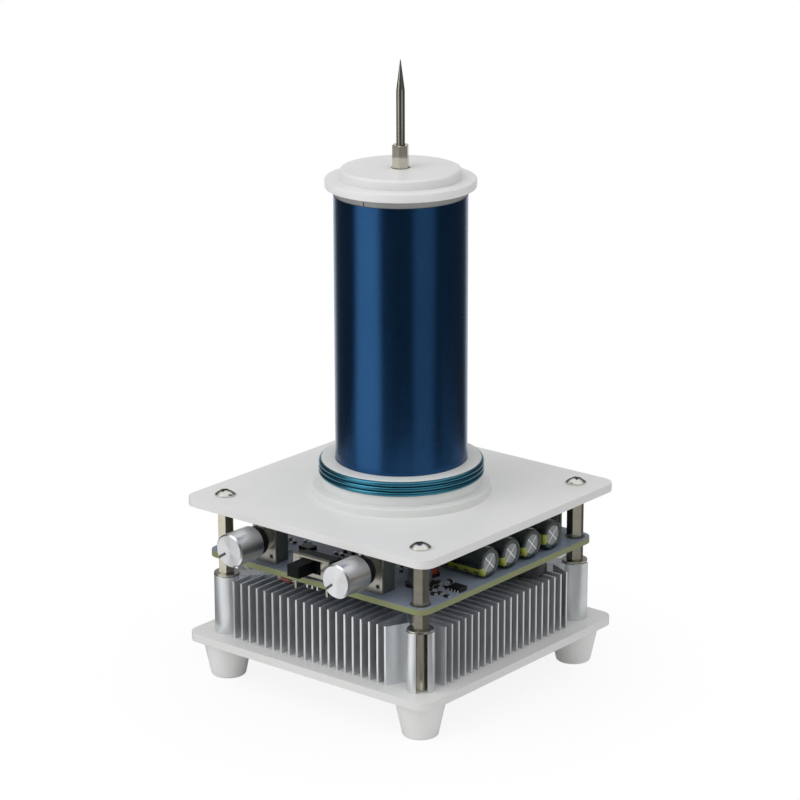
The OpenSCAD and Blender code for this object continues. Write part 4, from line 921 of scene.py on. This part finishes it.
# Primary winding: three turns of thick copper wire in teal enamel, laid side by side in the former's
# groove, with its ends led down through the plate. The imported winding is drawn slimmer.
WIRE_MM = 1.6
PITCH_MM = 1.65
BEND_MM = 1.3
TURNS = 3
START_TURN_DEG = 163
CLIMB_DEG = 45
LOOP_STEPS = 96
WIRE_SIDES = 16
LIP_MM = 0.3
GROOVE_R_MM = 25.8
RETURN_R_MM = 23.85


def tube(path, radius, sides, axis):
    """A closed tube along a path, its section carried from point to point without twist."""
    points, faces = [], []
    for index, point in enumerate(path):
        before, after = path[max(index - 1, 0)], path[min(index + 1, len(path) - 1)]
        tangent = (after - before).normalized()
        axis = (axis - tangent * axis.dot(tangent)).normalized()
        side = tangent.cross(axis)
        for k in range(sides):
            turn = 2 * math.pi * k / sides
            points.append(point + (axis * math.cos(turn) + side * math.sin(turn)) * radius)
    for i in range(len(path) - 1):
        for k in range(sides):
            following = (k + 1) % sides
            faces.append(
                [i * sides + k, i * sides + following, (i + 1) * sides + following, (i + 1) * sides + k]
            )
    faces.append(list(range(sides))[::-1])
    faces.append([(len(path) - 1) * sides + k for k in range(sides)])
    return points, faces


packed_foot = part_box("primary_winding")[0].z
wire_r = WIRE_MM * MM / 2
centre_r = GROOVE_R_MM * MM + wire_r + 0.02 * MM
bend = BEND_MM * MM
back_r = RETURN_R_MM * MM
end_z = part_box("primary_former")[1].z - (LIP_MM + PITCH_MM / 2) * MM
start_z = end_z - (TURNS - 1) * PITCH_MM * MM
climb = CLIMB_DEG / 360
quarter = [math.radians(90 * step / 8) for step in range(9)]
lead_up = [Vector((centre_r, -bend, packed_foot))]
lead_up += [
    Vector((centre_r, -bend * math.cos(a), start_z - bend * (1 - math.sin(a)))) for a in quarter[:-1]
]
loops = []
for step in range(round((TURNS - climb) * LOOP_STEPS) + 1):
    whole, part = divmod(step / LOOP_STEPS, 1)
    share = max(part - 1 + climb, 0) / climb
    rise = PITCH_MM * MM * (whole + share * share * (3 - 2 * share))
    turn = 2 * math.pi * part
    loops.append(Vector((centre_r * math.cos(turn), centre_r * math.sin(turn), start_z + rise)))
lead_down = [
    Vector((centre_r - bend * (1 - math.cos(a)), bend * math.sin(a), end_z)) for a in quarter[1:]
]
lead_down += [
    Vector((back_r + bend * (1 - math.sin(a)), bend, end_z - bend * (1 - math.cos(a)))) for a in quarter
]
lead_down.append(Vector((back_r, bend, packed_foot)))
back_turn = Matrix.Rotation(math.radians(-CLIMB_DEG), 4, "Z")
spin = Matrix.Rotation(math.radians(START_TURN_DEG), 4, "Z")
route = [spin @ point for point in lead_up + loops + [back_turn @ point for point in lead_down]]
enamel = surface(
    "teal_enamel", (58, 128, 152), 0.24, metallic=1.0, grain_mm=0.5, depth_mm=0.006, mottle=0.10, mottle_mm=4,
    Coat_Weight=0.25, Coat_Roughness=0.08
)
wire = tube(route, wire_r, WIRE_SIDES, spin @ Vector((1, 0, 0)))
winding = merge("primary_wire", [wire], enamel, "base")
winding.data.polygons.foreach_set("use_smooth", [len(p.vertices) == 4 for p in winding.data.polygons])
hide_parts("primary_winding")

# Secondary: a plastic tube wound from end to end with one layer of fine wire in dark blue enamel, then
# varnished. The wires spread light up and down, so a lamp shows as an upright band.
TURN_PITCH_MM = 0.2
tube_plastic = surface(
    "clear_tube", (156, 158, 156), 0.25, grain_mm=0.5, depth_mm=0.003, mottle=0.03, mottle_mm=6
)
coil = surface(
    "navy_enamel", (46, 88, 134), 0.26, metallic=1.0, grain_mm=2.5, depth_mm=0.004, stretch=(1, 1, 0.2),
    mottle=0.05, mottle_mm=30
)
tree = coil.node_tree
shader = tree.nodes["Principled BSDF"]
place = add(tree, "TexCoord").outputs["Object"]
up = add(tree, "SeparateXYZ", {0: place}).outputs["Z"]
ridge = math_node(tree, "SINE", math_node(tree, "MULTIPLY", up, 2 * math.pi / (TURN_PITCH_MM * MM)))
wires = add(tree, "Bump", {"Height": ridge, "Distance": 0.003 * MM, "Strength": 1.0})
tree.links.new(shader.inputs["Normal"].links[0].from_socket, wires.inputs["Normal"])
tree.links.new(wires.outputs["Normal"], shader.inputs["Normal"])
way = add(tree, "Tangent", direction_type="RADIAL", axis="Z")
tree.links.new(way.outputs["Tangent"], shader.inputs["Tangent"])
shader.inputs["Anisotropic"].default_value = 0.7
shader.inputs["Anisotropic Rotation"].default_value = 0.25
bare_copper = surface("bare_copper", (170, 96, 74), 0.3, metallic=1.0, grain_mm=0.2, depth_mm=0.002)
dress("secondary_tube", tube_plastic)
dress("secondary_winding", coil)
dress("secondary_leads", bare_copper)

# Cap: two white discs turned in one, with a spigot in the tube. A screw from inside holds the terminal.
cap_plastic = surface(
    "cap_plastic", (231, 230, 231), 0.36, grain_mm=0.4, depth_mm=0.004, mottle=0.015, mottle_mm=20
)
dress("top_cap", cap_plastic)

# Terminal and needle: a nickelled hexagonal spacer, and a ground steel needle screwed into it.
terminal_metal = surface(
    "terminal_nickel", (204, 200, 184), 0.12, metallic=1.0, grain_mm=0.3, depth_mm=0.0005, mottle=0.06,
    mottle_mm=2
)
needle_metal = surface(
    "needle_metal", (176, 170, 160), 0.20, metallic=1.0, grain_mm=0.25, depth_mm=0.0,
    stretch=(1, 1, 0.12), mottle=0.06, mottle_mm=4
)
dress("terminal_post", terminal_metal)
dress("needle", needle_metal)
